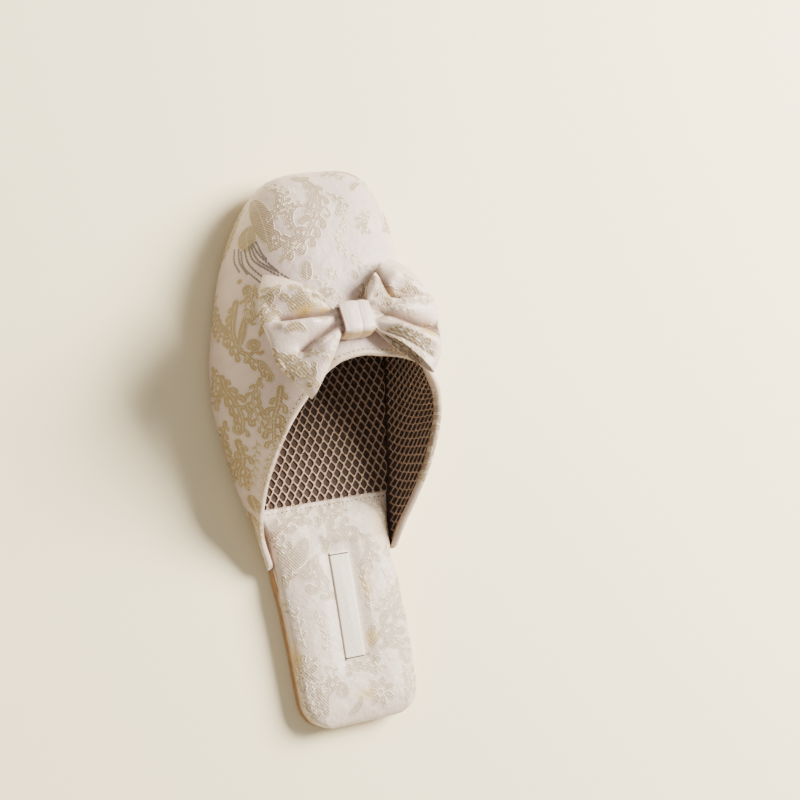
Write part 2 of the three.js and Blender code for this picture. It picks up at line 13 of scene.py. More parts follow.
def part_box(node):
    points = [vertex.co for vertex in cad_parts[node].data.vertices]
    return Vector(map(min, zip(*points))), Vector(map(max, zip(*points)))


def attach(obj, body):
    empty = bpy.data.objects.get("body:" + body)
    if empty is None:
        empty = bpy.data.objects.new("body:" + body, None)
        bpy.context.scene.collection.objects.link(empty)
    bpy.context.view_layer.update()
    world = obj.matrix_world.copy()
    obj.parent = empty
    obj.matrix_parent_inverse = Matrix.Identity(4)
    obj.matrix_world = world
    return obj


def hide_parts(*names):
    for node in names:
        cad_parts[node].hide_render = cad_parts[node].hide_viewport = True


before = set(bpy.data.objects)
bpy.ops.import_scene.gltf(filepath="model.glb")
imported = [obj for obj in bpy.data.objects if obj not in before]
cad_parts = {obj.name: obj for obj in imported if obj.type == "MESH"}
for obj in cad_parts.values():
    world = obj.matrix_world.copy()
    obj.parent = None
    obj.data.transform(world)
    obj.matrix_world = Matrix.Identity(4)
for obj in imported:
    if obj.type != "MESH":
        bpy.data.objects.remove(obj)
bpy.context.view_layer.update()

# %% [markdown]
# The last gives a slipper its shape, so its sizes come first. They are the CAD model's own driving
# dimensions, and the label's box says where the heel end lies in the model's frame.

# %% Sizes of the last, the sole and the wall, in millimetres
shoe_length = 248.7
heel_width = 57.0
ball_width = 90.0
instep_height = 56.0
heel_thickness = 5.0
fore_thickness = 4.4
toe_spring = 6.0
arch_lift = 1.3
heel_length = 68.0
clearance = 0.3
board_thickness = 2.6
footbed_thickness = 1.6
pad_length = 101.0
label_length = 49.0
label_width = 10.0
label_setback = 28.0
wall = 2.2
side_bulge = 4.0
wall_start = 74.0

low, high = (np.array(corner) * 1000 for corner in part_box("label_tab"))
heel_end = (low + high) / 2 - [0, label_setback + label_length / 2, 0]
heel_end[2] = 0
print("heel end in the model's frame, mm", heel_end.round(2))


def place(points):
    """Millimetres from the heel end, as metres in the model's frame."""
    return (np.asarray(points, float) + heel_end) / 1000


# %% [markdown]
# Every outline and height runs smoothly through a short table. The slopes at the rows are harmonic
# means, so a value never overshoots its neighbours and a flat place stays flat.

# %% Reading a table smoothly
def clamp(t):
    return np.clip(t, 0.0, 1.0)


def ease(t):
    return clamp(t) ** 2 * (3 - 2 * clamp(t))


def mix(a, b, t):
    return a + (b - a) * t


def read_table(x, y, at):
    slope = np.diff(y) / np.diff(x)
    before, after = slope[:-1], slope[1:]
    rising = before * after > 0
    total = np.where(rising, before + after, 1)
    inner = np.where(rising, 2 * before * after / total, 0)
    tangent = np.concatenate([slope[:1], inner, slope[-1:]])
    i = np.clip(np.searchsorted(x, at) - 1, 0, len(x) - 2)
    h = x[i + 1] - x[i]
    t = clamp((at - x[i]) / h)
    return (
        y[i] * (1 + 2 * t) * (1 - t) ** 2
        + tangent[i] * h * t * (1 - t) ** 2
        + y[i + 1] * t * t * (3 - 2 * t)
        + tangent[i + 1] * h * t * t * (t - 1)
    )


# %% Outline of the insole board
# at is a share of shoe_length; lateral and medial are millimetres from the middle line.
outline_at = np.array(
    [0, 0.006, 0.02, 0.05, 0.16, 0.22, 0.28, 0.34, 0.4, 0.47]
    + [0.545, 0.6, 0.655, 0.73, 0.8, 0.87, 0.92, 0.965, 0.99, 1]
)
heel_rows = heel_width * np.array(
    [
        [-0.232, -0.337, -0.425, -0.474, -0.486, -0.496, -0.521, -0.549, -0.607],
        [0.26, 0.386, 0.47, 0.507, 0.518, 0.512, 0.504, 0.518, 0.561],
    ]
)
ball_rows = ball_width * np.array(
    [
        [-0.43, -0.46, -0.476, -0.466, -0.42, -0.366, -0.296, -0.22, -0.122, -0.028, 0.144],
        [0.391, 0.424, 0.451, 0.476, 0.5, 0.516, 0.52, 0.509, 0.467, 0.411, 0.289],
    ]
)
outline_side = np.hstack([heel_rows, ball_rows])


def turn_at(share):
    return np.arccos(1 - 2 * clamp(share)) / np.pi


def share_at(turn):
    return (1 - np.cos(np.pi * turn)) / 2


def edge_x(side, share):
    """The board's edge at a share of its length: side 0 is lateral, 1 is medial."""
    return read_table(turn_at(outline_at), outline_side[side], turn_at(share))


def outline(outwards, start=0.0, end=1.0, steps=120, share=None):
    """The outline from heel to toe on the lateral side and back, moved outwards."""
    if share is None:
        share = share_at(np.linspace(turn_at(start), turn_at(end), steps + 1))
    steps = len(share) - 1
    lateral = np.stack([edge_x(0, share), share * shoe_length], 1)
    medial = np.stack([edge_x(1, share), share * shoe_length], 1)[::-1]
    loop = np.concatenate([lateral, medial])
    along = np.roll(loop, -1, 0) - np.roll(loop, 1, 0)
    along /= np.linalg.norm(along, axis=1, keepdims=True)
    moved = loop + outwards(loop[:, 1])[:, None] * np.stack([-along[:, 1], along[:, 0]], 1)
    if start > 0:
        moved[[0, -1], 1] = loop[[0, -1], 1]
    if end < 1:
        moved[[steps, steps + 1], 1] = loop[[steps, steps + 1], 1]
    return moved


# %% Heights along the sole
def toe_lift(y):
    return toe_spring * np.maximum(0, (y / shoe_length - 0.7) / 0.3) ** 2


def sole_bottom(y):
    rise = ease((y - heel_length) / 4) * (1 - ease((y / shoe_length - 0.44) / 0.08))
    return toe_lift(y) + arch_lift * rise


def sole_top(y):
    return toe_lift(y) + mix(heel_thickness, fore_thickness, ease((y / shoe_length - 0.28) / 0.22))


def board_top(y):
    return sole_top(y) + clearance + board_thickness


def footbed_top(y):
    return board_top(y) + clearance + footbed_thickness


# %% [markdown]
# Meshes are made straight from arrays of points, which is much quicker than adding faces one by one.
# A closed shell between two grids serves for cloth, leather and board: the front grid carries the
# detail, and the back grid may be coarser.

# %% Meshes from grids of points
def grid_quads(corner):
    return np.stack(
        [corner[:-1, :-1], corner[1:, :-1], corner[1:, 1:], corner[:-1, 1:]], -1
    ).reshape(-1, 4)


def shell(front, back):
    """Points and faces of a closed solid. Each column of back may span several of front."""
    rows, columns = front.shape[:2]
    few = back.shape[1]
    times = (columns - 1) // (few - 1)
    f = np.arange(rows * columns).reshape(rows, columns)
    b = rows * columns + np.arange(rows * few).reshape(rows, few)
    points = np.concatenate([front.reshape(-1, 3), back.reshape(-1, 3)])
    quads = [
        grid_quads(f),
        grid_quads(b)[:, ::-1],
        np.stack([f[:-1, 0], b[:-1, 0], b[1:, 0], f[1:, 0]], 1),
        np.stack([f[:-1, -1], f[1:, -1], b[1:, -1], b[:-1, -1]], 1),
    ]
    triangles = []
    for row, turn in ((0, 1), (rows - 1, -1)):
        for j in range(few - 1):
            for k in range(j * times, (j + 1) * times):
                triangles.append((f[row, k], f[row, k + 1], b[row, j])[::turn])
            triangles.append((f[row, (j + 1) * times], b[row, j + 1], b[row, j])[::turn])
    return points, [*quads, np.array(triangles)]


def make_piece(name, points, faces, nodes=(), sharp=None, flip=False, second=()):
    """A mesh object in the model's frame, riding on the body, smooth but for sharp angles.

    second lists which groups of faces take the piece's second material.
    """
    mesh = bpy.data.meshes.new(name)
    mesh.vertices.add(len(points))
    mesh.vertices.foreach_set("co", place(points).astype(np.float32).ravel())
    faces = [f[:, ::-1] if flip else f for f in faces]
    corners = np.concatenate([f.ravel() for f in faces])
    sizes = np.concatenate([np.full(len(f), f.shape[1]) for f in faces])
    mesh.loops.add(len(corners))
    mesh.loops.foreach_set("vertex_index", corners.astype(np.int32))
    mesh.polygons.add(len(sizes))
    starts = np.concatenate([[0], np.cumsum(sizes)[:-1]])
    mesh.polygons.foreach_set("loop_start", starts.astype(np.int32))
    finish = [np.full(len(f), int(k in second)) for k, f in enumerate(faces)]
    mesh.polygons.foreach_set("material_index", np.concatenate(finish).astype(np.int32))
    mesh.update(calc_edges=True)
    mesh.validate()
    mesh.shade_smooth()
    if sharp:
        mesh.set_sharp_from_angle(angle=np.radians(sharp))
    piece = bpy.data.objects.new(name, mesh)
    bpy.context.scene.collection.objects.link(piece)
    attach(piece, "root")
    if nodes:
        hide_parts(*nodes)
    print(f"{name}: {int((sizes - 2).sum())} triangles")
    return piece


def paint(piece, name, values):
    """Keeps a number or a vector for each point of a piece, for its material to read."""
    values = np.asarray(values, np.float32)
    kind = "FLOAT_VECTOR" if values.ndim == 2 else "FLOAT"
    field = "vector" if values.ndim == 2 else "value"
    layer = piece.data.attributes.new(name, kind, "POINT")
    layer.data.foreach_set(field, values.ravel())


# %% [markdown]
# The upper is a surface of lines. Each line leaves the edge of the sole, swells outwards and ends on
# the collar, so a table of collar points and fullness gives the whole shape of the foot.

# %% The collar, from the lateral rear tip over the throat to the medial rear tip
# foot: share of the sole edge; across, along, height: shares of ball width, length and instep;
# swell: share of side bulge; rise and drop: shares of the height; reach: share of the way back.
collar_names = "foot across along height swell rise reach drop".split()
collar_rows = np.array(
    [
        [0, -0.371, 0.304, 0.095, 0.1, 0.4, 0.1, 0.3],
        [0.04, -0.416, 0.354, 0.199, 0.2, 0.45, 0, 0.35],
        [0.07, -0.436, 0.397, 0.345, 0.3, 0.45, 0, 0.35],
        [0.115, -0.413, 0.455, 0.51, 0.6, 0.45, 0.15, 0.35],
        [0.16, -0.366, 0.503, 0.654, 0.9, 0.45, 0.3, 0.3],
        [0.21, -0.289, 0.55, 0.779, 1, 0.46, 0.42, 0.22],
        [0.28, -0.181, 0.596, 0.886, 0.95, 0.48, 0.5, 0.15],
        [0.345, -0.103, 0.623, 0.948, 0.95, 0.48, 0.52, 0.15],
        [0.41, -0.026, 0.637, 0.993, 0.95, 0.5, 0.52, 0.18],
        [0.5, 0.079, 0.642, 1.011, 0.95, 0.5, 0.52, 0.26],
        [0.58, 0.159, 0.638, 1.011, 0.95, 0.5, 0.52, 0.24],
        [0.64, 0.238, 0.634, 1.004, 0.95, 0.49, 0.5, 0.18],
        [0.7, 0.329, 0.626, 0.975, 0.95, 0.47, 0.48, 0.12],
        [0.775, 0.433, 0.611, 0.921, 0.9, 0.46, 0.4, 0.1],
        [0.82, 0.489, 0.591, 0.868, 0.9, 0.45, 0.25, 0.15],
        [0.86, 0.528, 0.561, 0.796, 0.9, 0.45, 0.1, 0.25],
        [0.89, 0.538, 0.526, 0.725, 0.85, 0.45, 0, 0.35],
        [0.915, 0.52, 0.487, 0.653, 0.8, 0.45, 0, 0.35],
        [0.94, 0.479, 0.434, 0.544, 0.6, 0.45, 0, 0.35],
        [0.963, 0.431, 0.386, 0.398, 0.4, 0.45, 0, 0.35],
        [0.985, 0.367, 0.333, 0.234, 0.2, 0.45, 0, 0.35],
        [1, 0.347, 0.302, 0.104, 0.1, 0.4, 0.1, 0.3],
    ]
)


def collar_value(name, foot):
    return read_table(collar_rows[:, 0], collar_rows[:, collar_names.index(name)], foot)


# %% The edge of the sole that the upper stands on
edge_turns = np.linspace(turn_at(wall_start / shoe_length), 1, 481)
edge_shares = share_at(edge_turns)
edge_points = np.concatenate(
    [
        np.stack([edge_x(0, edge_shares), edge_shares * shoe_length], 1),
        np.stack([edge_x(1, edge_shares), edge_shares * shoe_length], 1)[::-1],
    ]
)
edge_run = np.concatenate([[0], np.cumsum(np.linalg.norm(np.diff(edge_points, axis=0), axis=1))])
edge_length = edge_run[-1]
print("sole edge under the upper, mm", round(edge_length, 1))


def edge_at(distance):
    return np.stack([np.interp(distance, edge_run, edge_points[:, k]) for k in range(2)], -1)


def upper_lines(foot):
    """Four control points of the line at each foot: sole, swell, fullness, collar."""
    chord = 4
    foot = np.asarray(foot, float)
    point = edge_at(foot * edge_length)
    along = edge_at(foot * edge_length + chord) - edge_at(foot * edge_length - chord)
    along /= np.linalg.norm(along, axis=-1, keepdims=True)
    outward = np.stack([-along[:, 1], along[:, 0]], 1)
    start = np.column_stack([point + outward * (clearance + wall), np.zeros(len(foot))])
    start[:, 2] = sole_top(start[:, 1]) + clearance
    y = collar_value("along", foot) * shoe_length
    z = sole_top(y) + collar_value("height", foot) * instep_height
    end = np.column_stack([collar_value("across", foot) * ball_width, y, z])
    tall = end[:, 2] - start[:, 2]
    swelled, full = start.copy(), end.copy()
    swelled[:, :2] += outward * (collar_value("swell", foot) * side_bulge)[:, None]
    swelled[:, 2] += collar_value("rise", foot) * tall
    full[:, :2] += (start - end)[:, :2] * collar_value("reach", foot)[:, None]
    full[:, 2] -= collar_value("drop", foot) * tall
    return np.stack([start, swelled, full, end], 1)


def line_points(lines, t):
    a, b, c, d = (lines[:, None, k] for k in range(4))
    t = t[..., None]
    s = 1 - t
    return a * s**3 + 3 * b * s * s * t + 3 * c * s * t * t + d * t**3


def upper_face(foot, distance=None, share=None, depth=0.0):
    """Points in from the outer face of the upper, with the outward directions there.

    distance runs down from the collar in millimetres; share runs up from the sole, 0 to 1.
    """
    foot = np.asarray(foot, float)
    lines = upper_lines(foot)
    step = 0.004
    fine = np.linspace(0, 1, 97)
    run = line_points(lines, np.tile(fine, (len(foot), 1)))
    lengths = np.cumsum(np.linalg.norm(np.diff(run, axis=1), axis=2), axis=1)
    lengths = np.column_stack([np.zeros(len(foot)), lengths])
    total = lengths[:, -1:]
    if share is None:
        up = total - np.broadcast_to(distance, (len(foot), np.shape(distance)[-1]))
    else:
        up = np.broadcast_to(share, (len(foot), np.shape(share)[-1])) * total
    t = np.stack([np.interp(u, length, fine) for u, length in zip(up, lengths)])
    tiny = 1e-4
    point = line_points(lines, t)
    rising = line_points(lines, np.minimum(t + tiny, 1)) - line_points(lines, np.maximum(t - tiny, 0))
    before = line_points(upper_lines(np.maximum(foot - step, 0)), t)
    after = line_points(upper_lines(np.minimum(foot + step, 1)), t)
    normal = np.cross(rising, after - before)
    normal /= np.linalg.norm(normal, axis=-1, keepdims=True)
    depth = np.broadcast_to(depth, t.shape)[..., None]
    return point - normal * depth, normal, total[:, 0]


# %% [markdown]
# Brocade carries a scroll pattern woven with a second yarn, slightly raised over the satin ground. Each
# leaf, scroll and flower is drawn as strokes on the flat cloth, in millimetres. Every point of
# a mesh then keeps its distance to the nearest stroke's edge, and the material makes yarn, light
# outlines and hatching from it, so that the pattern stays sharp at any zoom.

# %% Strokes of the woven pattern
def smooth_path(points, steps=6):
    """A curve through a few points, with steps pieces between each two."""
    points = np.asarray(points, float)
    ends = np.concatenate([2 * points[:1] - points[1:2], points, 2 * points[-1:] - points[-2:-1]])
    p0, p1, p2, p3 = (ends[k : len(ends) - 3 + k, None] for k in range(4))
    t = (np.arange(steps) / steps)[None, :, None]
    curve = 0.5 * (
        2 * p1 + (p2 - p0) * t + (2 * p0 - 5 * p1 + 4 * p2 - p3) * t**2
        + (3 * p1 - p0 - 3 * p2 + p3) * t**3
    )
    return np.concatenate([curve.reshape(-1, 2), points[-1:]])


def run_of(path):
    return np.concatenate([[0], np.cumsum(np.linalg.norm(np.diff(path, axis=0), axis=1))])


def turned(vector, degrees):
    c, s = np.cos(np.radians(degrees)), np.sin(np.radians(degrees))
    return np.array([c * vector[0] - s * vector[1], s * vector[0] + c * vector[1]])


def leaf(path, radius):
    """One stroke: a pointed leaf along a path, widest before its middle."""
    path = smooth_path(path, 4)
    share = run_of(path) / run_of(path)[-1]
    return np.column_stack([path, radius * np.sin(np.pi * share**0.8) ** 0.7 + 0.04])


def coil(path, curl, radius):
    """Points of a spiral that carries a path on to one side."""
    heading = np.arctan2(*(path[-1] - path[-2])[::-1])
    share = np.linspace(0, 1, 26)[1:]
    turn = heading + curl * 2 * np.pi * 1.35 * share
    step = 2 * np.pi * 1.35 / 25 * radius * (1 - 0.75 * share)
    return path[-1] + np.cumsum(step[:, None] * np.column_stack([np.cos(turn), np.sin(turn)]), axis=0)


def scroll(path, stem, lobe, side=0, curl=0, radius=0):
    """A stem with round leaf lobes on both sides, or one, that may end in a spiral."""
    stem, lobe = 1.35 * stem, 1.32 * lobe
    path = smooth_path(path)
    leafy = run_of(path)[-1]
    if curl:
        path = np.concatenate([path, coil(path, curl, radius)])
    run = run_of(path)
    strokes = [np.column_stack([path, stem * (1 - 0.6 * run / run[-1])])]
    if curl:
        strokes.append(np.array([[*path[-1], stem * 0.9], [*path[-1] + 0.01, stem * 0.9]]))
    turn = side or 1
    at = lobe * 0.3
    while at < leafy:
        start = np.array([np.interp(at, run, path[:, k]) for k in range(2)])
        ahead = np.array([np.interp(at + 0.3, run, path[:, k]) for k in range(2)]) - start
        ahead /= np.linalg.norm(ahead)
        size = lobe * (0.7 + 0.4 * np.sin(np.pi * at / leafy))
        elbow = start + turned(ahead, 66 * turn) * size * 0.52
        tip = elbow + turned(ahead, 26 * turn) * size * 0.34
        lobe_path = smooth_path([start, elbow, tip, tip + turned(ahead, -30 * turn) * size * 0.14], 4)
        places = np.linspace(0, 1, len(lobe_path))
        girth = size * np.interp(places, [0, 0.4, 0.75, 1], [0.16, 0.26, 0.29, 0.12])
        strokes.append(np.column_stack([lobe_path, girth]))
        at += lobe * (0.72 if side else 0.46)
        turn = side or -turn
    return strokes


def sprig(path, leaf_size):
    """A thin twig with small pointed leaves in turn on both sides and a bud at its end."""
    path = smooth_path(path)
    run = run_of(path)
    strokes = [np.column_stack([path, np.full(len(path), 0.34)])]
    turn, at = 1, leaf_size * 0.35
    while at < run[-1] + 0.1:
        start = np.array([np.interp(at, run, path[:, k]) for k in range(2)])
        ahead = start - np.array([np.interp(at - 0.5, run, path[:, k]) for k in range(2)])
        ahead /= np.linalg.norm(ahead)
        middle = start + turned(ahead, 48 * turn) * leaf_size * 0.5
        tip = middle + turned(ahead, 25 * turn) * leaf_size * 0.45
        strokes.append(leaf([start, middle, tip], leaf_size * 0.2))
        at += leaf_size * 0.62
        turn = -turn
    ahead = path[-1] - path[-2]
    ahead /= np.linalg.norm(ahead)
    bud = [path[-1], path[-1] + ahead * leaf_size * 0.5, path[-1] + ahead * leaf_size]
    return [*strokes, leaf(bud, leaf_size * 0.24)]


def flower(path, size):
    centre = np.asarray(path[0], float)
    strokes = [np.array([[*centre, size * 0.17], [*centre + 0.01, size * 0.17]])]
    for k in range(7):
        out = turned([1, 0], 360 / 7 * k + 20)
        petal = [centre + out * size * 0.3, centre + out * size * 0.7, centre + out * size]
        strokes.append(leaf(petal, size * 0.23))
    return strokes


def berry(path, size):
    return [np.array([[*path[0], size], [path[0][0] + 0.01, path[0][1], size]])]


kinds = {"scroll": scroll, "sprig": sprig, "flower": flower, "berry": berry}


def draw(rows):
    """All strokes of a table of motifs: kind, path, then the kind's own sizes."""
    strokes = []
    for kind, path, *sizes in rows:
        strokes += [leaf(path, *sizes)] if kind == "leaf" else kinds[kind](path, *sizes)
    return strokes


def dashes(paths, radius=0.42, pitch=1.7):
    """Short strokes in rows, for feathers drawn with dots."""
    strokes = []
    for path in paths:
        path = smooth_path(path)
        run = run_of(path)
        for at in np.arange(0.4, run[-1] - 0.6, pitch):
            ends = [[np.interp(d, run, path[:, k]) for k in range(2)] for d in (at, at + pitch * 0.4)]
            strokes.append(np.column_stack([np.array(ends), [radius, radius]]))
    return strokes


def distance_to(cloth, strokes, spread=1.2):
    """Signed distance from each cloth point to the strokes, and to the nearest stroke's vein."""
    edge = np.full(len(cloth), 3.0)
    line = edge.copy()
    order = np.argsort(cloth[:, 0])
    sorted_x = cloth[order, 0]
    for stroke in strokes:
        low = (stroke[:, :2] - stroke[:, 2:]).min(0) - spread
        high = (stroke[:, :2] + stroke[:, 2:]).max(0) + spread
        near = order[slice(*np.searchsorted(sorted_x, [low[0], high[0]]))]
        near = near[(cloth[near, 1] > low[1]) & (cloth[near, 1] < high[1])]
        if not len(near):
            continue
        start, along = stroke[:-1, :2], np.diff(stroke[:, :2], axis=0)
        offset = cloth[near][:, None] - start
        t = clamp((offset * along).sum(-1) / np.maximum((along**2).sum(-1), 1e-9))
        gap = np.linalg.norm(offset - t[..., None] * along, axis=-1)
        line[near] = np.minimum(line[near], gap.min(1))
        gap = (gap - mix(stroke[:-1, 2], stroke[1:, 2], t)).min(1)
        edge[near] = np.minimum(edge[near], gap)
    return edge, line


def weave(piece, cloth, rows=(), feathers=(), tone=0.0, gilt=0.0):
    """Keeps the cloth's place and its pattern for the points of a piece; the rest stays plain."""
    total, count = len(piece.data.vertices), len(cloth)
    edge, line = distance_to(cloth, draw(rows))
    feather, _ = distance_to(cloth, dashes(feathers))

    def filled(values, rest):
        return np.concatenate([np.broadcast_to(values, count), np.full(total - count, rest)])

    paint(
        piece,
        "cloth",
        np.column_stack([filled(cloth[:, 0], 0), filled(cloth[:, 1], 0), np.zeros(total)]),
    )
    paint(piece, "motif", filled(edge, 3.0))
    paint(piece, "vein", filled(line, 3.0))
    paint(piece, "feather", filled(feather, 3.0))
    paint(piece, "tone", filled(tone, 0.0))
    paint(piece, "gilt", filled(gilt, 0.0))


def patches(cloth, rows):
    """Soft round patches of metal yarn: middle, reach along u and v."""
    total = np.zeros(len(cloth))
    for (u, v), reach_u, reach_v in rows:
        away = np.hypot((cloth[:, 0] - u) / reach_u, (cloth[:, 1] - v) / reach_v)
        total = np.maximum(total, 1 - ease(away))
    return total


# %% The upper's cloth and the padding behind it
# Cloth goes from the edge of the binding down to the sole, where it is lasted: it turns under with a small
# radius and the pull leaves faint puckers round the edge.
binding_width = 2.8
wall_steps, wall_rows, wall_back = 600, 141, 14
lining_depth = 1.5
lasted_radius = 1.3
pucker_pitch = 4.6
pucker_height = 0.16

feet = np.linspace(0, 1, wall_steps + 1)
_, _, line_length = upper_face(feet, share=np.array([0, 1.0]))
cloth_length = (line_length - binding_width)[:, None]
turn_rows = lasted_radius * np.array([0, 0.06, 0.2, 0.42, 0.7])
ups = np.hstack(
    [
        np.tile(turn_rows, (wall_steps + 1, 1)),
        mix(lasted_radius, cloth_length, np.linspace(0, 1, wall_rows + 1 - len(turn_rows))),
    ]
)
outer, outer_normal, _ = upper_face(feet, share=ups / line_length[:, None])
pucker = np.cos(2 * np.pi * feet * edge_length / pucker_pitch + 1.5 * np.sin(feet * 40))[:, None]
outer += outer_normal * (pucker * pucker_height * np.exp(-((ups - 2.2) / 2.2) ** 2))[..., None]
level = outer_normal * [1, 1, 0]
level /= np.linalg.norm(level, axis=-1, keepdims=True)
turned_in = lasted_radius * (1 - np.sqrt(1 - (1 - clamp(ups / lasted_radius)) ** 2))
outer -= level * turned_in[..., None]
inner_ups = cloth_length * np.linspace(0, 1, wall_back + 1)
inner_depth = mix(wall + clearance - 0.1, lining_depth, ease(inner_ups / 9))
inner, _, _ = upper_face(feet, share=inner_ups / line_length[:, None], depth=inner_depth)
for grid in (outer, inner):
    grid[:, 0, 2] = sole_top(grid[:, 0, 1]) + clearance
points, faces = shell(outer, inner)
upper = make_piece("upper_cloth", points, faces, ["upper"], sharp=60, flip=True, second=[1, 3])

# %% Motifs of the upper
# The cloth is laid flat round the bow: a point's place is its direction in plan and its distance.
cloth_middle = np.array([3, 170, 55])


def cloth_place(points):
    offset = points - cloth_middle
    plan_distance = np.linalg.norm(offset[..., :2], axis=-1, keepdims=True)
    flat = offset[..., :2] / np.maximum(plan_distance, 1e-6)
    return (flat * np.linalg.norm(offset, axis=-1, keepdims=True)).reshape(-1, 2)


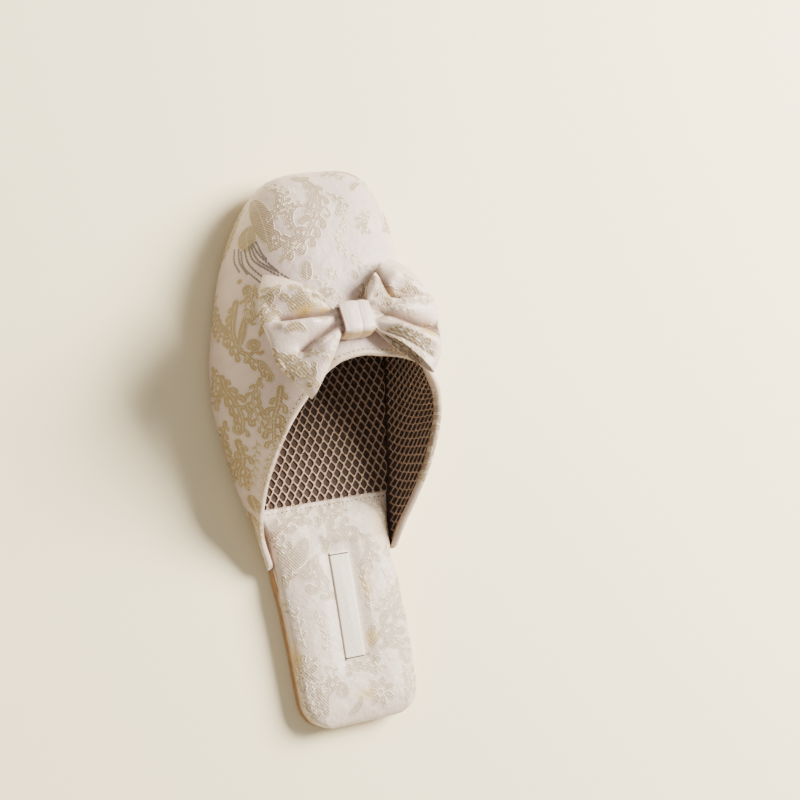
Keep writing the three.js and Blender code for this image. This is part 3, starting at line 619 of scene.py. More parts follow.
upper_motifs = [
    ("leaf", [[-22.5, 50], [-21.5, 58.5], [-20.5, 69], [-19.5, 80]], 4.6),
    ("scroll", [[-45.5, 57], [-39.5, 63], [-31.5, 73.5], [-24, 80]], 1.1, 3, 0, 0, 0),
    ("leaf", [[-31, 51.5], [-29.5, 58.5], [-26.5, 63.5]], 4.2),
    (
        "scroll",
        [[3, 82.5], [6.5, 78.5], [7.5, 70], [4.5, 61], [-2, 53], [-6, 48], [-11, 44.5], [-16.5, 42]],
        1.9, 5, 0, 0, 0,
    ),
    ("scroll", [[-8, 50], [-10, 55.5], [-8.5, 61.5], [-4, 65], [0.5, 64]], 1.2, 2.6, 1, -1, 2.6),
    ("scroll", [[-10, 46], [-10, 43], [-8.5, 42.5]], 0.8, 2, 0, 1, 1.2),
    ("sprig", [[-1.5, 72.5], [-3.5, 76.5], [-5.5, 78.5]], 2.2),
    ("scroll", [[-11.5, 43], [-16, 46.5], [-19.5, 50], [-23, 49]], 1.3, 4.2, 0, 0, 0),
    ("leaf", [[-20.5, 38.5], [-17.5, 41], [-12.5, 44.5]], 1.5),
    ("leaf", [[-11.5, 27.5], [-10.5, 32.5], [-8.5, 36.5]], 2.8),
    ("sprig", [[-9.5, 27], [-6.5, 26], [-3, 21], [-0.5, 16.5], [1.5, 14]], 3.4),
    ("flower", [[0.5, 28.5]], 3.2),
    ("leaf", [[-9, 18], [-4.5, 20], [0, 20]], 2.6),
    ("sprig", [[8.5, 45], [9.5, 40], [13, 35], [16, 30], [22, 28.5], [25.5, 29]], 3.4),
    ("leaf", [[11.5, 24.5], [11.5, 26.5], [12, 29]], 1.6),
    ("sprig", [[19.5, 59.5], [16.5, 54.5], [13.5, 51], [9.5, 46.5]], 2.6),
    ("scroll", [[30, 57.5], [24, 52.5], [24, 47.5]], 0.8, 2.6, 0, 1, 1.8),
    ("sprig", [[33, 50.5], [32, 54.5], [28.5, 57.5]], 2.6),
    ("scroll", [[17, 82.5], [23.5, 84], [26, 80.5]], 0.8, 2.6, 0, -1, 1.6),
    ("sprig", [[33.5, 79.5], [36.5, 73], [38.5, 64.5], [38.5, 55]], 2.6),
    ("berry", [[-39.5, 37.5]], 1.5),
    ("berry", [[-37.5, 31.5]], 2.7),
    ("scroll", [[-34, 29.5], [-37, 26], [-41, 24]], 1.0, 3, 0, 0, 0),
    (
        "scroll",
        [[-44.5, 27.5], [-48, 19], [-49.5, 10.5], [-47.5, 2], [-44, -1.5], [-40, 0]],
        1.5, 4.4, -1, 1, 3.2,
    ),
    ("leaf", [[-47.5, 3.5], [-44.5, 12], [-41, 20.5]], 2.2),
    ("scroll", [[-43, 15], [-38.5, 15.5], [-37.5, 18.5], [-39.5, 21]], 0.9, 2.6, 0, 1, 1.4),
    ("scroll", [[-45, -0.5], [-42.5, -4.5], [-38, -7], [-34.5, -13.5]], 1.0, 3.6, -1, -1, 1.8),
    (
        "scroll",
        [[-58.5, -10.5], [-56.5, -17], [-52.5, -23.5], [-49.5, -30.5], [-49.5, -37]],
        1.4, 4.4, 0, -1, 2.6,
    ),
    ("scroll", [[-56, -19], [-62, -21.5], [-64, -26]], 0.8, 2.6, 0, 1, 1.7),
    ("scroll", [[-52, -43.5], [-50, -52], [-52, -59], [-51, -65.5]], 1.5, 4, 0, 0, 0),
    ("leaf", [[-53.5, -53.5], [-54.5, -59.5], [-53.5, -65.5]], 1.3),
    ("scroll", [[-32, -19.5], [-33.5, -25.5], [-36, -32], [-37, -39], [-37.5, -45.5]], 1.3, 4, 0, 0, 0),
    ("flower", [[-38.5, -33]], 3.0),
    ("sprig", [[-38.5, -47], [-40, -53], [-42, -60]], 3),
    ("leaf", [[-47, -68.5], [-46, -72.5], [-45.5, -75.5]], 2.3),
    ("scroll", [[-46.5, -79], [-45, -85], [-43.5, -91]], 1.1, 3.2, 0, 0, 0),
    ("leaf", [[-62, 16], [-58, 18], [-55.5, 18.5]], 1.4),
    ("sprig", [[-41, 28.5], [-37.5, 29.5], [-35, 31]], 3),
    ("scroll", [[-3, 96], [-12, 94], [-22, 91], [-31, 84]], 1.1, 4, 0, 0, 0),
    ("scroll", [[-56, 34], [-58, 24], [-56, 13], [-52, 8]], 1.0, 3.4, 0, 0, 0),
    ("scroll", [[-64, -4], [-62, -12], [-64, -20]], 1.0, 3.2, 0, 0, 0),
    ("flower", [[-55, 40]], 3.0),
    ("scroll", [[-40, -14], [-44, -22], [-43, -31], [-40, -38]], 0.9, 3.2, 0, 0, 0),
    ("leaf", [[-38, 6], [-34, 12], [-33, 20]], 1.6),
    ("scroll", [[-58, -34], [-60, -44], [-58, -54], [-57, -64]], 1.0, 3.4, 0, -1, 2.0),
    ("sprig", [[-44, -42], [-45, -52], [-47, -62]], 3.0),
    ("scroll", [[-56, -70], [-54, -78], [-52, -88]], 0.9, 3.2, 0, 0, 0),
    ("scroll", [[-44, 66], [-38, 75], [-30, 84]], 0.8, 3.0, 0, 0, 0),
    ("scroll", [[14, 70], [18, 64], [16, 58]], 0.8, 2.6, 0, -1, 1.6),
    ("scroll", [[-20, 60], [-12, 66], [-8, 74], [-10, 82]], 0.9, 3.0, 0, 0, 0),
    ("sprig", [[-14, 86], [-8, 90], [0, 90]], 2.6),
    ("scroll", [[10, 16], [16, 20], [24, 20]], 0.8, 2.6, 0, 1, 1.6),
    ("scroll", [[44, 30], [48, 22], [47, 12]], 0.9, 3.2, 0, 0, 0),
    ("scroll", [[36, 48], [42, 52], [46, 60]], 0.8, 2.8, 0, 0, 0),
    ("leaf", [[26, 70], [30, 74], [35, 76]], 1.5),
    ("flower", [[8, 60]], 2.4),
    ("scroll", [[12, 94], [24, 92], [34, 86], [40, 78]], 1.0, 4, 0, 0, 0),
    ("sprig", [[44, 60], [46, 45], [45, 30], [42, 18]], 3.4),
    ("scroll", [[50, 10], [52, -2], [50, -14], [45, -22]], 1.3, 4.2, 0, 1, 2.6),
    ("flower", [[40, 2]], 3.2),
    ("sprig", [[52, -30], [52, -42], [50, -54]], 3.2),
    ("scroll", [[40, -30], [42, -44], [43, -58], [42, -70]], 1.2, 4, 0, -1, 2.4),
    ("leaf", [[33, 10], [36, 16], [38, 22]], 2),
    ("sprig", [[-58, 40], [-63, 28], [-66, 16]], 3),
    ("leaf", [[-52, 70], [-48, 76], [-43, 81]], 1.8),
]
feathers = [
    [[-36, 56.5], [-38.5, 49.5], [-38, 41.5]],
    [[-34.5, 55], [-36.5, 47], [-35, 38]],
    [[-34, 53], [-35.5, 43], [-30.5, 31]],
    [[-32.5, 52.5], [-33, 43], [-28.5, 32.5]],
    [[-30.5, 53], [-30.5, 43.5], [-22.5, 31.5]],
    [[-29.5, 53], [-28.5, 42.5], [-18.5, 29]],
    [[-28.5, 53.5], [-27.5, 45], [-22.5, 34.5]],
    [[-27, 53.5], [-26.5, 46], [-25, 41.5]],
]
upper_cloth = cloth_place(outer)
upper_tone = np.maximum(1 - ease((upper_cloth[:, 0] + 34) / 24), 0.8 * ease((upper_cloth[:, 0] - 22) / 20))
weave(upper, upper_cloth, upper_motifs, feathers, upper_tone)

# %% [markdown]
# The collar is finished with the brocade folded over its edge and stitched down: a soft roll on the
# outside and a flat strip on the net inside. It is one closed tube swept along the collar.

# %% The folded edge of the collar
# in: distance down from the collar's edge; deep: into the wall from its outer face
fold_section = np.array(
    [
        [2.85, -0.02],
        [2.3, -0.16],
        [1.5, -0.26],
        [0.7, -0.14],
        [0.12, 0.35],
        [0, 1.1],
        [0.15, 1.9],
        [0.8, 2.5],
        [1.8, 2.62],
        [3.2, 2.6],
        [4.3, 2.5],
        [4.35, 2.3],
        [3.0, 2.1],
        [1.8, 1.9],
        [1.6, 1.1],
        [2.2, 0.5],
    ]
)


def rounded(points, pieces):
    """A closed curve through points, with pieces steps from each one to the next."""
    t = np.arange(pieces) / pieces
    p0, p1, p2, p3 = (np.roll(points, k, 0)[:, None] for k in (1, 0, -1, -2))
    t = t[None, :, None]
    curve = 0.5 * (
        2 * p1 + (p2 - p0) * t + (2 * p0 - 5 * p1 + 4 * p2 - p3) * t**2
        + (3 * p1 - p0 - 3 * p2 + p3) * t**3
    )
    return curve.reshape(-1, points.shape[1])


def tube_faces(rings, around):
    """Faces of a closed tube of rings, with flat ends."""
    corner = np.arange(rings * around).reshape(rings, around)
    wrapped = np.column_stack([corner, corner[:, 0]])
    fan = np.stack([np.zeros(around - 2, int), np.arange(1, around - 1), np.arange(2, around)], 1)
    return [grid_quads(wrapped), fan, (corner[-1][fan])[:, ::-1]]


section = rounded(fold_section, 2)
fold_feet = np.linspace(0, 1, 641)
fold_points, fold_normal, fold_length = upper_face(
    fold_feet, distance=section[None, :, 0], depth=section[None, :, 1]
)
binding = make_piece(
    "collar_fold",
    fold_points.reshape(-1, 3),
    tube_faces(len(fold_feet), len(section)),
    ["collar_binding"],
)
fold_place = cloth_place(fold_points)
fold_tone = 1 - ease((fold_place[:, 0] + 34) / 24)
weave(binding, fold_place, upper_motifs, tone=fold_tone)

# %% [markdown]
# The outsole is thin moulded rubber. Its side rolls in at the floor and at the top, and its floor
# side has a tread of cross grooves under the heel and the ball.

# %% Outsole
outsole_lip = 0.4
outsole_tuck = 0.6
tread_depth, tread_width, tread_pitch, tread_rim = 1.0, 2.2, 9.0, 7.0
sole_side = [
    [-3.0, 0],
    [-1.2, 0],
    [0.2, 0.03],
    [1, 0.1],
    [1.1, 0.2],
    [1, 0.3],
    [0.15, 0.36],
    [0, 0.42],
    [0, 0.9],
    [-0.4, 0.97],
    [-1.2, 1],
]


def laid(loop, height):
    return np.column_stack([loop, height(loop[:, 1])])


def stack(loops):
    """Points and faces of a closed solid of loops, each up one side and down the other."""
    count = len(loops[0])
    corner = np.arange(len(loops) * count).reshape(len(loops), count)
    wrapped = np.column_stack([corner, corner[:, 0]])
    half = count // 2
    ends = []
    for loop, turn in ((corner[0], 1), (corner[-1], -1)):
        pairs = np.stack([loop[:half], loop[::-1][:half]], 1)
        ends.append(grid_quads(pairs)[:, ::-turn])
    return np.concatenate(loops), [grid_quads(wrapped), *ends]


def outsole_edge(y, out):
    return out * outsole_lip - outsole_tuck * ease((y - wall_start + 6) / 12)


heel_grooves = np.arange(0.06 * shoe_length, heel_length - 0.03 * shoe_length, tread_pitch)
ball_grooves = np.arange(0.5 * shoe_length, 0.8 * shoe_length, tread_pitch)
groove_middles = np.concatenate([heel_grooves, ball_grooves])
groove_sides = groove_middles[:, None] + tread_width * np.array([-0.55, -0.45, -0.2, 0.2, 0.45, 0.55])
even = share_at(np.linspace(0, 1, 241))
shares = np.unique(np.concatenate([even, groove_sides.ravel() / shoe_length]).round(6))
loops = [
    laid(
        outline(lambda y: outsole_edge(y, out), share=shares),
        lambda y: mix(sole_bottom(y), sole_top(y), up),
    )
    for out, up in sole_side
]
points, faces = stack(loops)

# %% Tread grooves across the floor side
rim_loop = np.arange(2 * len(shares))
lateral_rim, medial_rim = rim_loop[: len(shares)], rim_loop[::-1][: len(shares)]
a, b = points[lateral_rim], points[medial_rim]
width = np.maximum((b - a)[:, :1], 1e-6)
inward = np.array([4.6, 5.2, 12, 20, 28])
across = np.hstack([np.minimum(inward / width, 0.46), 1 - np.minimum(inward[::-1] / width, 0.46)])
floor_grid = a[:, None] + (b - a)[:, None] * across[..., None]
y = floor_grid[..., 1]
away = np.abs(y[..., None] - groove_middles).min(-1)
cut = 1 - clamp((away / tread_width - 0.45) / 0.1)
cut *= (np.abs(np.arange(10) - 4.5) < 4)[None] & (width > 2.2 * tread_rim)
floor_grid[..., 2] = sole_bottom(y) + tread_depth * cut
added = len(points) + np.arange(floor_grid[..., 0].size).reshape(y.shape)
floor_corners = np.column_stack([lateral_rim, added, medial_rim])
points = np.concatenate([points, floor_grid.reshape(-1, 3)])
faces[1] = grid_quads(floor_corners)[:, ::-1]
outsole = make_piece("rubber_outsole", points, faces, ["outsole"], sharp=35)
rises = np.repeat([up for _, up in sole_side], 2 * len(shares))
paint(outsole, "rise", np.concatenate([rises, np.zeros(y.size)]))

# %% Insole board
board_inset = 0.2
board_side = [[-0.7, 0], [-0.1, 0.2], [0, 0.4], [0, 0.7], [-0.2, 0.9], [-0.8, 1]]
loops = [
    laid(
        outline(lambda y: out - board_inset + 0 * y),
        lambda y: sole_top(y) + clearance + up * board_thickness,
    )
    for out, up in board_side
]
points, faces = stack(loops)
board = make_piece("board_wrap", points, faces, ["insole_board"], sharp=50)

# %% [markdown]
# The footbed and the inside of the upper are covered with a coarse knitted net over dark foam. Each
# mesh of the net is modelled: a rhombus with a rounded hole, its threads raised along the middle.
# The same tile is laid on the footbed and on the inner face of the wall.

# %% One mesh of the net
net_across = 4.1
net_row = 3.3
hole_across = 1.68
hole_along = 2.15
net_rise = 0.55

corner_points = np.array([[net_across / 2, 0], [0, net_row], [-net_across / 2, 0], [0, -net_row]])
side_share = np.arange(3) / 3
rim = np.concatenate(
    [a + (b - a) * side_share[:, None] for a, b in zip(corner_points, np.roll(corner_points, -1, 0))]
)
angle = np.arctan2(rim[:, 1] / net_row, rim[:, 0] / (net_across / 2))
roundness = 1.5
hole = np.stack(
    [
        hole_across * np.sign(np.cos(angle)) * np.abs(np.cos(angle)) ** roundness,
        hole_along * np.sign(np.sin(angle)) * np.abs(np.sin(angle)) ** roundness,
    ],
    1,
)
tile = np.concatenate(
    [
        np.column_stack([rim, np.full(12, net_rise)]),
        np.column_stack([mix(rim, hole, 0.55), np.full(12, net_rise * 0.9)]),
        np.column_stack([hole, np.full(12, net_rise * 0.45)]),
        np.column_stack([mix(rim, hole, 0.92), np.full(12, -0.1)]),
    ]
)
tile_ring = np.column_stack([np.arange(48).reshape(4, 12), 12 * np.arange(4)])
tile_quads = grid_quads(tile_ring)[:, ::-1]


def net_tiles(columns, rows):
    """Middles of the meshes, in millimetres: every other row is set half a mesh aside."""
    i, j = np.meshgrid(columns, rows, indexing="ij")
    return np.stack([(i + (j % 2) / 2) * net_across, j * net_row], -1).reshape(-1, 2)


def net_piece(name, middles, lay, nodes):
    """Joins a tile at each middle, and lays their points with lay(across, along, rise)."""
    flat = middles[:, None] + tile[None, :, :2]
    rise = np.broadcast_to(tile[None, :, 2], flat.shape[:2])
    key = np.column_stack([(flat / 0.02).round().reshape(-1, 2), rise.ravel().round(2)])
    _, first, merged = np.unique(key, axis=0, return_index=True, return_inverse=True)
    merged = merged.reshape(-1)
    quads = (np.arange(len(middles))[:, None, None] * len(tile) + tile_quads).reshape(-1, 4)
    points = lay(flat.reshape(-1, 2)[first], rise.ravel()[first])
    return make_piece(name, points, [merged[quads]], nodes)


# %% The net and foam of the footbed
footbed_inset = clearance + 0.4
foam_sink = 0.75
net_lift = 0.2


def footbed_slab(drop):
    start = (pad_length + clearance) / shoe_length
    edge = footbed_thickness * 0.35
    rows = [[-edge, 0], [0, edge], [0, footbed_thickness - drop - 0.3], [-0.4, footbed_thickness - drop]]
    return stack(
        [
            laid(
                outline(lambda y: out - footbed_inset + 0 * y, start),
                lambda y: board_top(y) + clearance + up,
            )
            for out, up in rows
        ]
    )


points, faces = footbed_slab(foam_sink)
footbed_foam = make_piece("footbed_foam", points, faces, ["mesh_footbed"], sharp=50)

columns = np.arange(-14, 14)
rows = np.arange(int(pad_length / net_row), int(shoe_length / net_row) + 1)
middles = net_tiles(columns, rows)
share = np.clip(middles[:, 1] / shoe_length, 0, 1)
spare = 1.2
keep = (
    (middles[:, 0] > edge_x(0, share) + spare)
    & (middles[:, 0] < edge_x(1, share) - spare)
    & (middles[:, 1] < shoe_length - 4)
)


def lay_on_footbed(flat, rise):
    y = np.clip(flat[:, 1], pad_length - 0.5, shoe_length - footbed_inset)
    share = y / shoe_length
    x = np.clip(flat[:, 0], edge_x(0, share) + footbed_inset, edge_x(1, share) - footbed_inset)
    return np.column_stack([x, y, footbed_top(y) - foam_sink + net_lift + rise])


footbed_net = net_piece(
    "footbed_net", middles[keep], lay_on_footbed, ["mesh_footbed"]
)

# %% The net inside the upper
# A dense grid of the lined face is read between its points, so that any tile can be laid on it.
lining_feet = np.linspace(0, 1, 401)
lining_shares = np.linspace(0, 1, 81)
lining_face, lining_normal, lining_length = upper_face(
    lining_feet, share=lining_shares[None], depth=lining_depth + 0.15
)


def between(grid, a, b):
    """Values of a grid at fractional rows a and columns b."""
    i = np.clip(a.astype(int), 0, grid.shape[0] - 2)
    j = np.clip(b.astype(int), 0, grid.shape[1] - 2)
    s, t = (a - i)[:, None], (b - j)[:, None]
    return mix(mix(grid[i, j], grid[i + 1, j], s), mix(grid[i, j + 1], grid[i + 1, j + 1], s), t)


lining_count = round(edge_length / net_across / 1.03)
lining_middles = net_tiles(np.arange(lining_count), np.arange(1, 34))
lining_width = lining_count * net_across


def lining_place(flat):
    foot = clamp(flat[:, 0] / lining_width)
    length = np.interp(foot, lining_feet, lining_length)
    return foot, flat[:, 1], length


foot, up, length = lining_place(lining_middles)
keep = (up < length - 2) & (up > 3) & (foot > 0.004) & (foot < 0.996)


def lay_on_wall(flat, rise):
    foot, up, length = lining_place(flat)
    up = np.clip(up, 1.5, np.maximum(length - 2.5, 1.5))
    a, b = foot * (len(lining_feet) - 1), up / length * (len(lining_shares) - 1)
    normal = between(lining_normal, a, b)
    normal /= np.linalg.norm(normal, axis=1, keepdims=True)
    return between(lining_face, a, b) - normal * rise[:, None]


wall_net = net_piece("upper_lining", lining_middles[keep], lay_on_wall, ["upper"])

# %% [markdown]
# The heel seat is a padded cushion of brocade. Its cloth wraps over the rim and down the edge of the
# board, and its front edge is sewn down flat. Cloth under gentle pressure is simulated on a coarse
# copy, held along the seams and the label's ends, and its swelling is carried to the fine mesh.

# %% Shape of the heel pad
pad_thickness = 5.6
pad_edge = 2.6
pad_seam_edge = 1.4
pad_overhang = 0.6
pad_inset = 0.7
label_dip = 1.2


def label_pull(x, y):
    fade = 7
    beside = np.maximum(0, np.abs(x) - label_width / 2)
    beyond = np.maximum(0, np.maximum(label_setback - y, y - label_setback - label_length))
    return 1 - ease(np.hypot(beside, beyond) / fade)


def pad_top(x, y, to_side):
    crown_reach, rim_reach = 16, 2.4
    to_rim = np.minimum(to_side, np.maximum(y + pad_overhang, 0))
    crown = 1 - (1 - clamp(to_rim / crown_reach)) ** 2.6
    corner = 1 - np.sqrt(np.maximum(0, 1 - (1 - clamp(to_rim / rim_reach)) ** 2))
    front = ease((pad_length - y) / 12)
    rim = mix(pad_seam_edge, pad_edge, front)
    top = mix(pad_seam_edge, pad_thickness, front)
    sunk = label_dip * label_pull(x, y) * front
    return board_top(y) + clearance + mix(rim, top, crown) - sunk - corner * rim * 0.8


def pad_grid(rungs, steps):
    """Plan of the pad: points across at each rung, and their distance from the side."""

    def outwards(y):
        return -mix(-pad_overhang, pad_inset, ease((y - wall_start + 14) / 12))

    loop = outline(outwards, 0, pad_length / shoe_length, rungs)
    half = rungs + 1
    lateral, medial = loop[:half], loop[::-1][:half]
    across = share_at(np.linspace(0, 1, steps + 1))
    plan = lateral[:, None] + (medial - lateral)[:, None] * across[None, :, None]
    to_side = np.minimum(plan[..., 0] - lateral[:, None, 0], medial[:, None, 0] - plan[..., 0])
    return plan, to_side


# %% The pad's swelling, from simulated cloth
sim_rungs, sim_steps = 40, 18
swell_cap = 1.6


def simulate_swelling():
    plan, to_side = pad_grid(sim_rungs, sim_steps)
    top = np.dstack([plan, pad_top(plan[..., 0], plan[..., 1], to_side)])
    bottom = np.dstack([plan, board_top(plan[..., 1]) + clearance])
    points, faces = shell(top, bottom)
    trial = make_piece("pad_trial", points, faces, flip=True)
    rim = np.ones(top.shape[:2], bool)
    rim[1:-1, 1:-1] = False
    x, y = plan[..., 0], plan[..., 1]
    ends = np.minimum(np.abs(y - label_setback), np.abs(y - label_setback - label_length))
    sewn = (np.abs(x) < label_width / 2 + 1) & (ends < 2)
    held = np.concatenate([(rim | sewn).ravel(), np.ones(bottom[..., 0].size, bool)])
    group = trial.vertex_groups.new(name="held")
    group.add([int(i) for i in np.flatnonzero(held)], 1.0, "REPLACE")
    cloth = trial.modifiers.new("Cloth", "CLOTH")
    cloth.settings.vertex_group_mass = "held"
    cloth.settings.use_pressure = True
    cloth.settings.uniform_pressure_force = 4
    cloth.settings.tension_stiffness = 12
    cloth.settings.bending_stiffness = 0.4
    cloth.settings.effector_weights.gravity = 0
    cloth.point_cache.frame_start, cloth.point_cache.frame_end = 1, 20
    for number in range(1, 21):
        bpy.context.scene.frame_set(number)
    shaped = trial.evaluated_get(bpy.context.evaluated_depsgraph_get())
    after = np.zeros(len(points) * 3, np.float32)
    shaped.data.vertices.foreach_get("co", after)
    after = after.reshape(-1, 3)[: top[..., 0].size] * 1000 - heel_end
    bpy.context.scene.frame_set(1)
    bpy.data.objects.remove(trial)
    moved = after.reshape(top.shape) - top
    size = np.linalg.norm(moved, axis=-1, keepdims=True)
    print("pad swelling, mm: most", round(float(size.max()), 2), "mean", round(float(size.mean()), 2))
    return moved * np.minimum(1, swell_cap / np.maximum(size, 1e-9))


swelling = simulate_swelling()

# %% The heel pad
pad_rungs, pad_steps = 200, 120
skirt_gap = 0.5
skirt_thickness = 0.45

plan, to_side = pad_grid(pad_rungs, pad_steps)
x, y = plan[..., 0], plan[..., 1]
a, b = np.meshgrid(np.arange(pad_rungs + 1), np.arange(pad_steps + 1), indexing="ij")
swell = between(
    swelling, (a / pad_rungs * sim_rungs).ravel(), (b / pad_steps * sim_steps).ravel()
).reshape(*x.shape, 3)
pad_cloth = np.dstack([plan, pad_top(x, y, to_side)]) + swell


def skirted(grid, depth):
    """Adds the cloth's turned-down rim round the heel and along both sides."""
    rim = grid.copy()
    rim[..., 2] = np.minimum(grid[..., 2], depth)
    wide = np.concatenate([rim[:, :1], grid, rim[:, -1:]], axis=1)
    first = wide[:1].copy()
    first[..., 2] = np.minimum(first[..., 2], depth[:1].mean())
    return np.concatenate([first, wide], axis=0)


rim_depth = mix(
    sole_top(y) + skirt_gap, board_top(y) + clearance, ease((y - wall_start + 14) / 8)
)
front_grid = skirted(pad_cloth, rim_depth)
back_grid = front_grid.copy()
back_grid[1:, 1:-1, 2] = board_top(front_grid[1:, 1:-1, 1]) + clearance
back_grid[:, :2, 0] += skirt_thickness
back_grid[:, -2:, 0] -= skirt_thickness
back_grid[:2, :, 1] += skirt_thickness
points, faces = shell(front_grid, back_grid)
heel_pad = make_piece("pad_cloth", points, faces, ["heel_pad"], flip=True)

pad_motifs = [
    ("scroll", [[-29, 89.5], [-23.5, 93], [-17, 96.5], [-10.5, 96]], 1.2, 5, 0, 0, 0),
    ("scroll", [[13.5, 101], [21, 96], [25.5, 88.5], [26.5, 79.5], [23, 72.5]], 1.2, 3.6, 1, 0, 0),
    ("scroll", [[-6, 79], [-3.5, 83.5], [2, 86.5], [9, 86.5]], 1.5, 4.6, 0, -1, 3.2),
    ("scroll", [[-5, 57.5], [-11, 63], [-14.5, 69], [-15, 74]], 1.1, 5, 0, 0, 0),
    ("sprig", [[-23.5, 38], [-24.5, 45.5], [-25, 52], [-28.5, 57]], 4.2),
    ("sprig", [[11, 48.5], [11.5, 56], [10.5, 64.5]], 3.4),
    ("scroll", [[9, 33.5], [15, 38.5], [23, 41.5], [28.5, 47]], 1.2, 5.6, 0, 0, 0),
    ("scroll", [[13.5, 31], [22.5, 33], [27, 24.5]], 1.0, 4, 0, -1, 2.2),
    ("flower", [[9, 11.5]], 7.2),
    ("scroll", [[-19, 7], [-17.5, 14.5], [-11.5, 18.5]], 1.3, 4.4, 1, -1, 3.4),
    ("sprig", [[-9, 27.5], [-14.5, 25], [-19, 20], [-19.5, 12.5]], 4),
    ("scroll", [[-27, 19], [-27, 25], [-22.5, 32]], 1.0, 4, 0, 0, 0),
    ("scroll", [[13, 82.5], [16.5, 78], [16, 71.5], [12, 68]], 1.0, 3.6, 0, 1, 2),
    ("leaf", [[-25, 74], [-19, 79], [-14, 86]], 4.2),
    ("leaf", [[-22, 69], [-15, 73], [-9, 78]], 2.2),
]
pad_motifs += [
    ("scroll", [[-27, 66], [-24, 74], [-25, 82], [-28, 88]], 0.9, 3.4, 0, 0, 0),
    ("scroll", [[-8, 90], [-1, 95], [7, 97]], 0.9, 3.4, 0, 1, 2.0),
    ("scroll", [[28, 60], [25, 53], [20, 49], [15, 50]], 0.9, 3.4, 0, 0, 0),
    ("sprig", [[20, 66], [23, 60], [21, 54]], 3.0),
    ("scroll", [[-5, 22], [0, 26], [7, 25], [11, 21]], 0.9, 3.4, 0, 0, 0),
    ("scroll", [[22, 6], [25, 12], [25, 20]], 0.9, 3.2, 0, 0, 0),
    ("leaf", [[-8, 4], [-3, 7], [0, 12]], 1.8),
    ("scroll", [[-26, 4], [-24, 10], [-26, 16]], 0.8, 3.0, 0, 0, 0),
    ("sprig", [[-14, 34], [-13, 42], [-15, 50]], 3.0),
    ("scroll", [[-29, 34], [-27, 26], [-22, 20]], 0.8, 3.0, 0, 0, 0),
]
pad_place = front_grid[..., :2] + 0.0
pad_place[1:, 0, 0] -= (pad_cloth[:, 0, 2] - rim_depth[:, 0])
pad_place[1:, -1, 0] += (pad_cloth[:, -1, 2] - rim_depth[:, -1])
pad_place = pad_place.reshape(-1, 2)
gilt_rows = [([22, 84], 6, 14), ([11, 60], 5, 10), ([9, 36], 6, 6), ([-28, 34], 5, 12), ([2, 12], 8, 5)]
pad_gilt = patches(pad_place, gilt_rows)
weave(heel_pad, pad_place, pad_motifs, tone=0.12, gilt=pad_gilt * 0.6)

# %% Label
# A ray straight down finds the swollen pad under each point, so the thin label follows its dents.
label_thickness = 0.4
label_turn = np.radians(-0.7)
pad_tree = BVHTree.FromPolygons(pad_cloth.reshape(-1, 3).tolist(), grid_quads(
    np.arange(pad_cloth[..., 0].size).reshape(pad_cloth.shape[:2])
).tolist())


def pad_height(x, y):
    hit = pad_tree.ray_cast((float(x), float(y), 60.0), (0, 0, -1))[0]
    return hit.z


def label_grid(lift, steps=(98, 20)):
    y, x = np.meshgrid(
        np.linspace(0, label_length, steps[0] + 1),
        np.linspace(-label_width / 2, label_width / 2, steps[1] + 1),
        indexing="ij",
    )
    to_edge = np.minimum(label_width / 2 - np.abs(x), np.minimum(y, label_length - y))
    y = y + label_setback
    middle = label_setback + label_length / 2
    turned_x = x * np.cos(label_turn) - (y - middle) * np.sin(label_turn)
    turned_y = middle + x * np.sin(label_turn) + (y - middle) * np.cos(label_turn)
    z = np.vectorize(pad_height)(turned_x, turned_y) + 0.05 + lift * (0.25 + 0.75 * ease(to_edge / 0.7))
    return np.dstack([turned_x, turned_y, z])


points, faces = shell(label_grid(label_thickness), label_grid(0))
label = make_piece("label_cloth", points, faces, ["label_tab"], sharp=50, flip=True)
across = np.linspace(-1, 1, 21)[None, :] + np.zeros((99, 1))
paint(label, "across", np.concatenate([across.ravel(), across.ravel()]))
paint(label, "along", np.tile(np.repeat(np.linspace(0, label_length, 99), 21), 2))

# %% [markdown]
# Stitches show as small needle holes with a short thread between them. Each row is one mesh: a
# flattened bead for every hole, painted dark for the shade inside the hole, and a spindle for every thread,
# set along a line on the cloth.

# %% Rows of stitches
bead = np.array(
    [[np.cos(a), np.sin(a), 0] for a in np.radians(np.arange(0, 360, 60))] + [[0, 0, 0.6], [0, 0, -0.6]]
)
bead_faces = np.array(
    [[k, (k + 1) % 6, 6] for k in range(6)] + [[(k + 1) % 6, k, 7] for k in range(6)]
)
ring_angles = np.radians(np.arange(0, 360, 60))
ring_shape = np.column_stack([0 * ring_angles, np.cos(ring_angles), np.sin(ring_angles)])
spindle = np.concatenate(
    [[[-1, 0, -0.6]], *([ring_shape * [1, w, w] + [x, 0, 0] for x, w in ((-0.75, 0.8), (0, 1), (0.75, 0.8))])]
    + [[[1, 0, -0.6]]]
)
spindle_faces = np.array(
    [[0, 1 + (k + 1) % 6, 1 + k] for k in range(6)]
    + [[1 + 6 * r + k, 1 + 6 * r + (k + 1) % 6, 7 + 6 * r + k] for r in range(2) for k in range(6)]
    + [[1 + 6 * r + (k + 1) % 6, 7 + 6 * r + (k + 1) % 6, 7 + 6 * r + k] for r in range(2) for k in range(6)]
    + [[19, 13 + k, 13 + (k + 1) % 6] for k in range(6)]
)


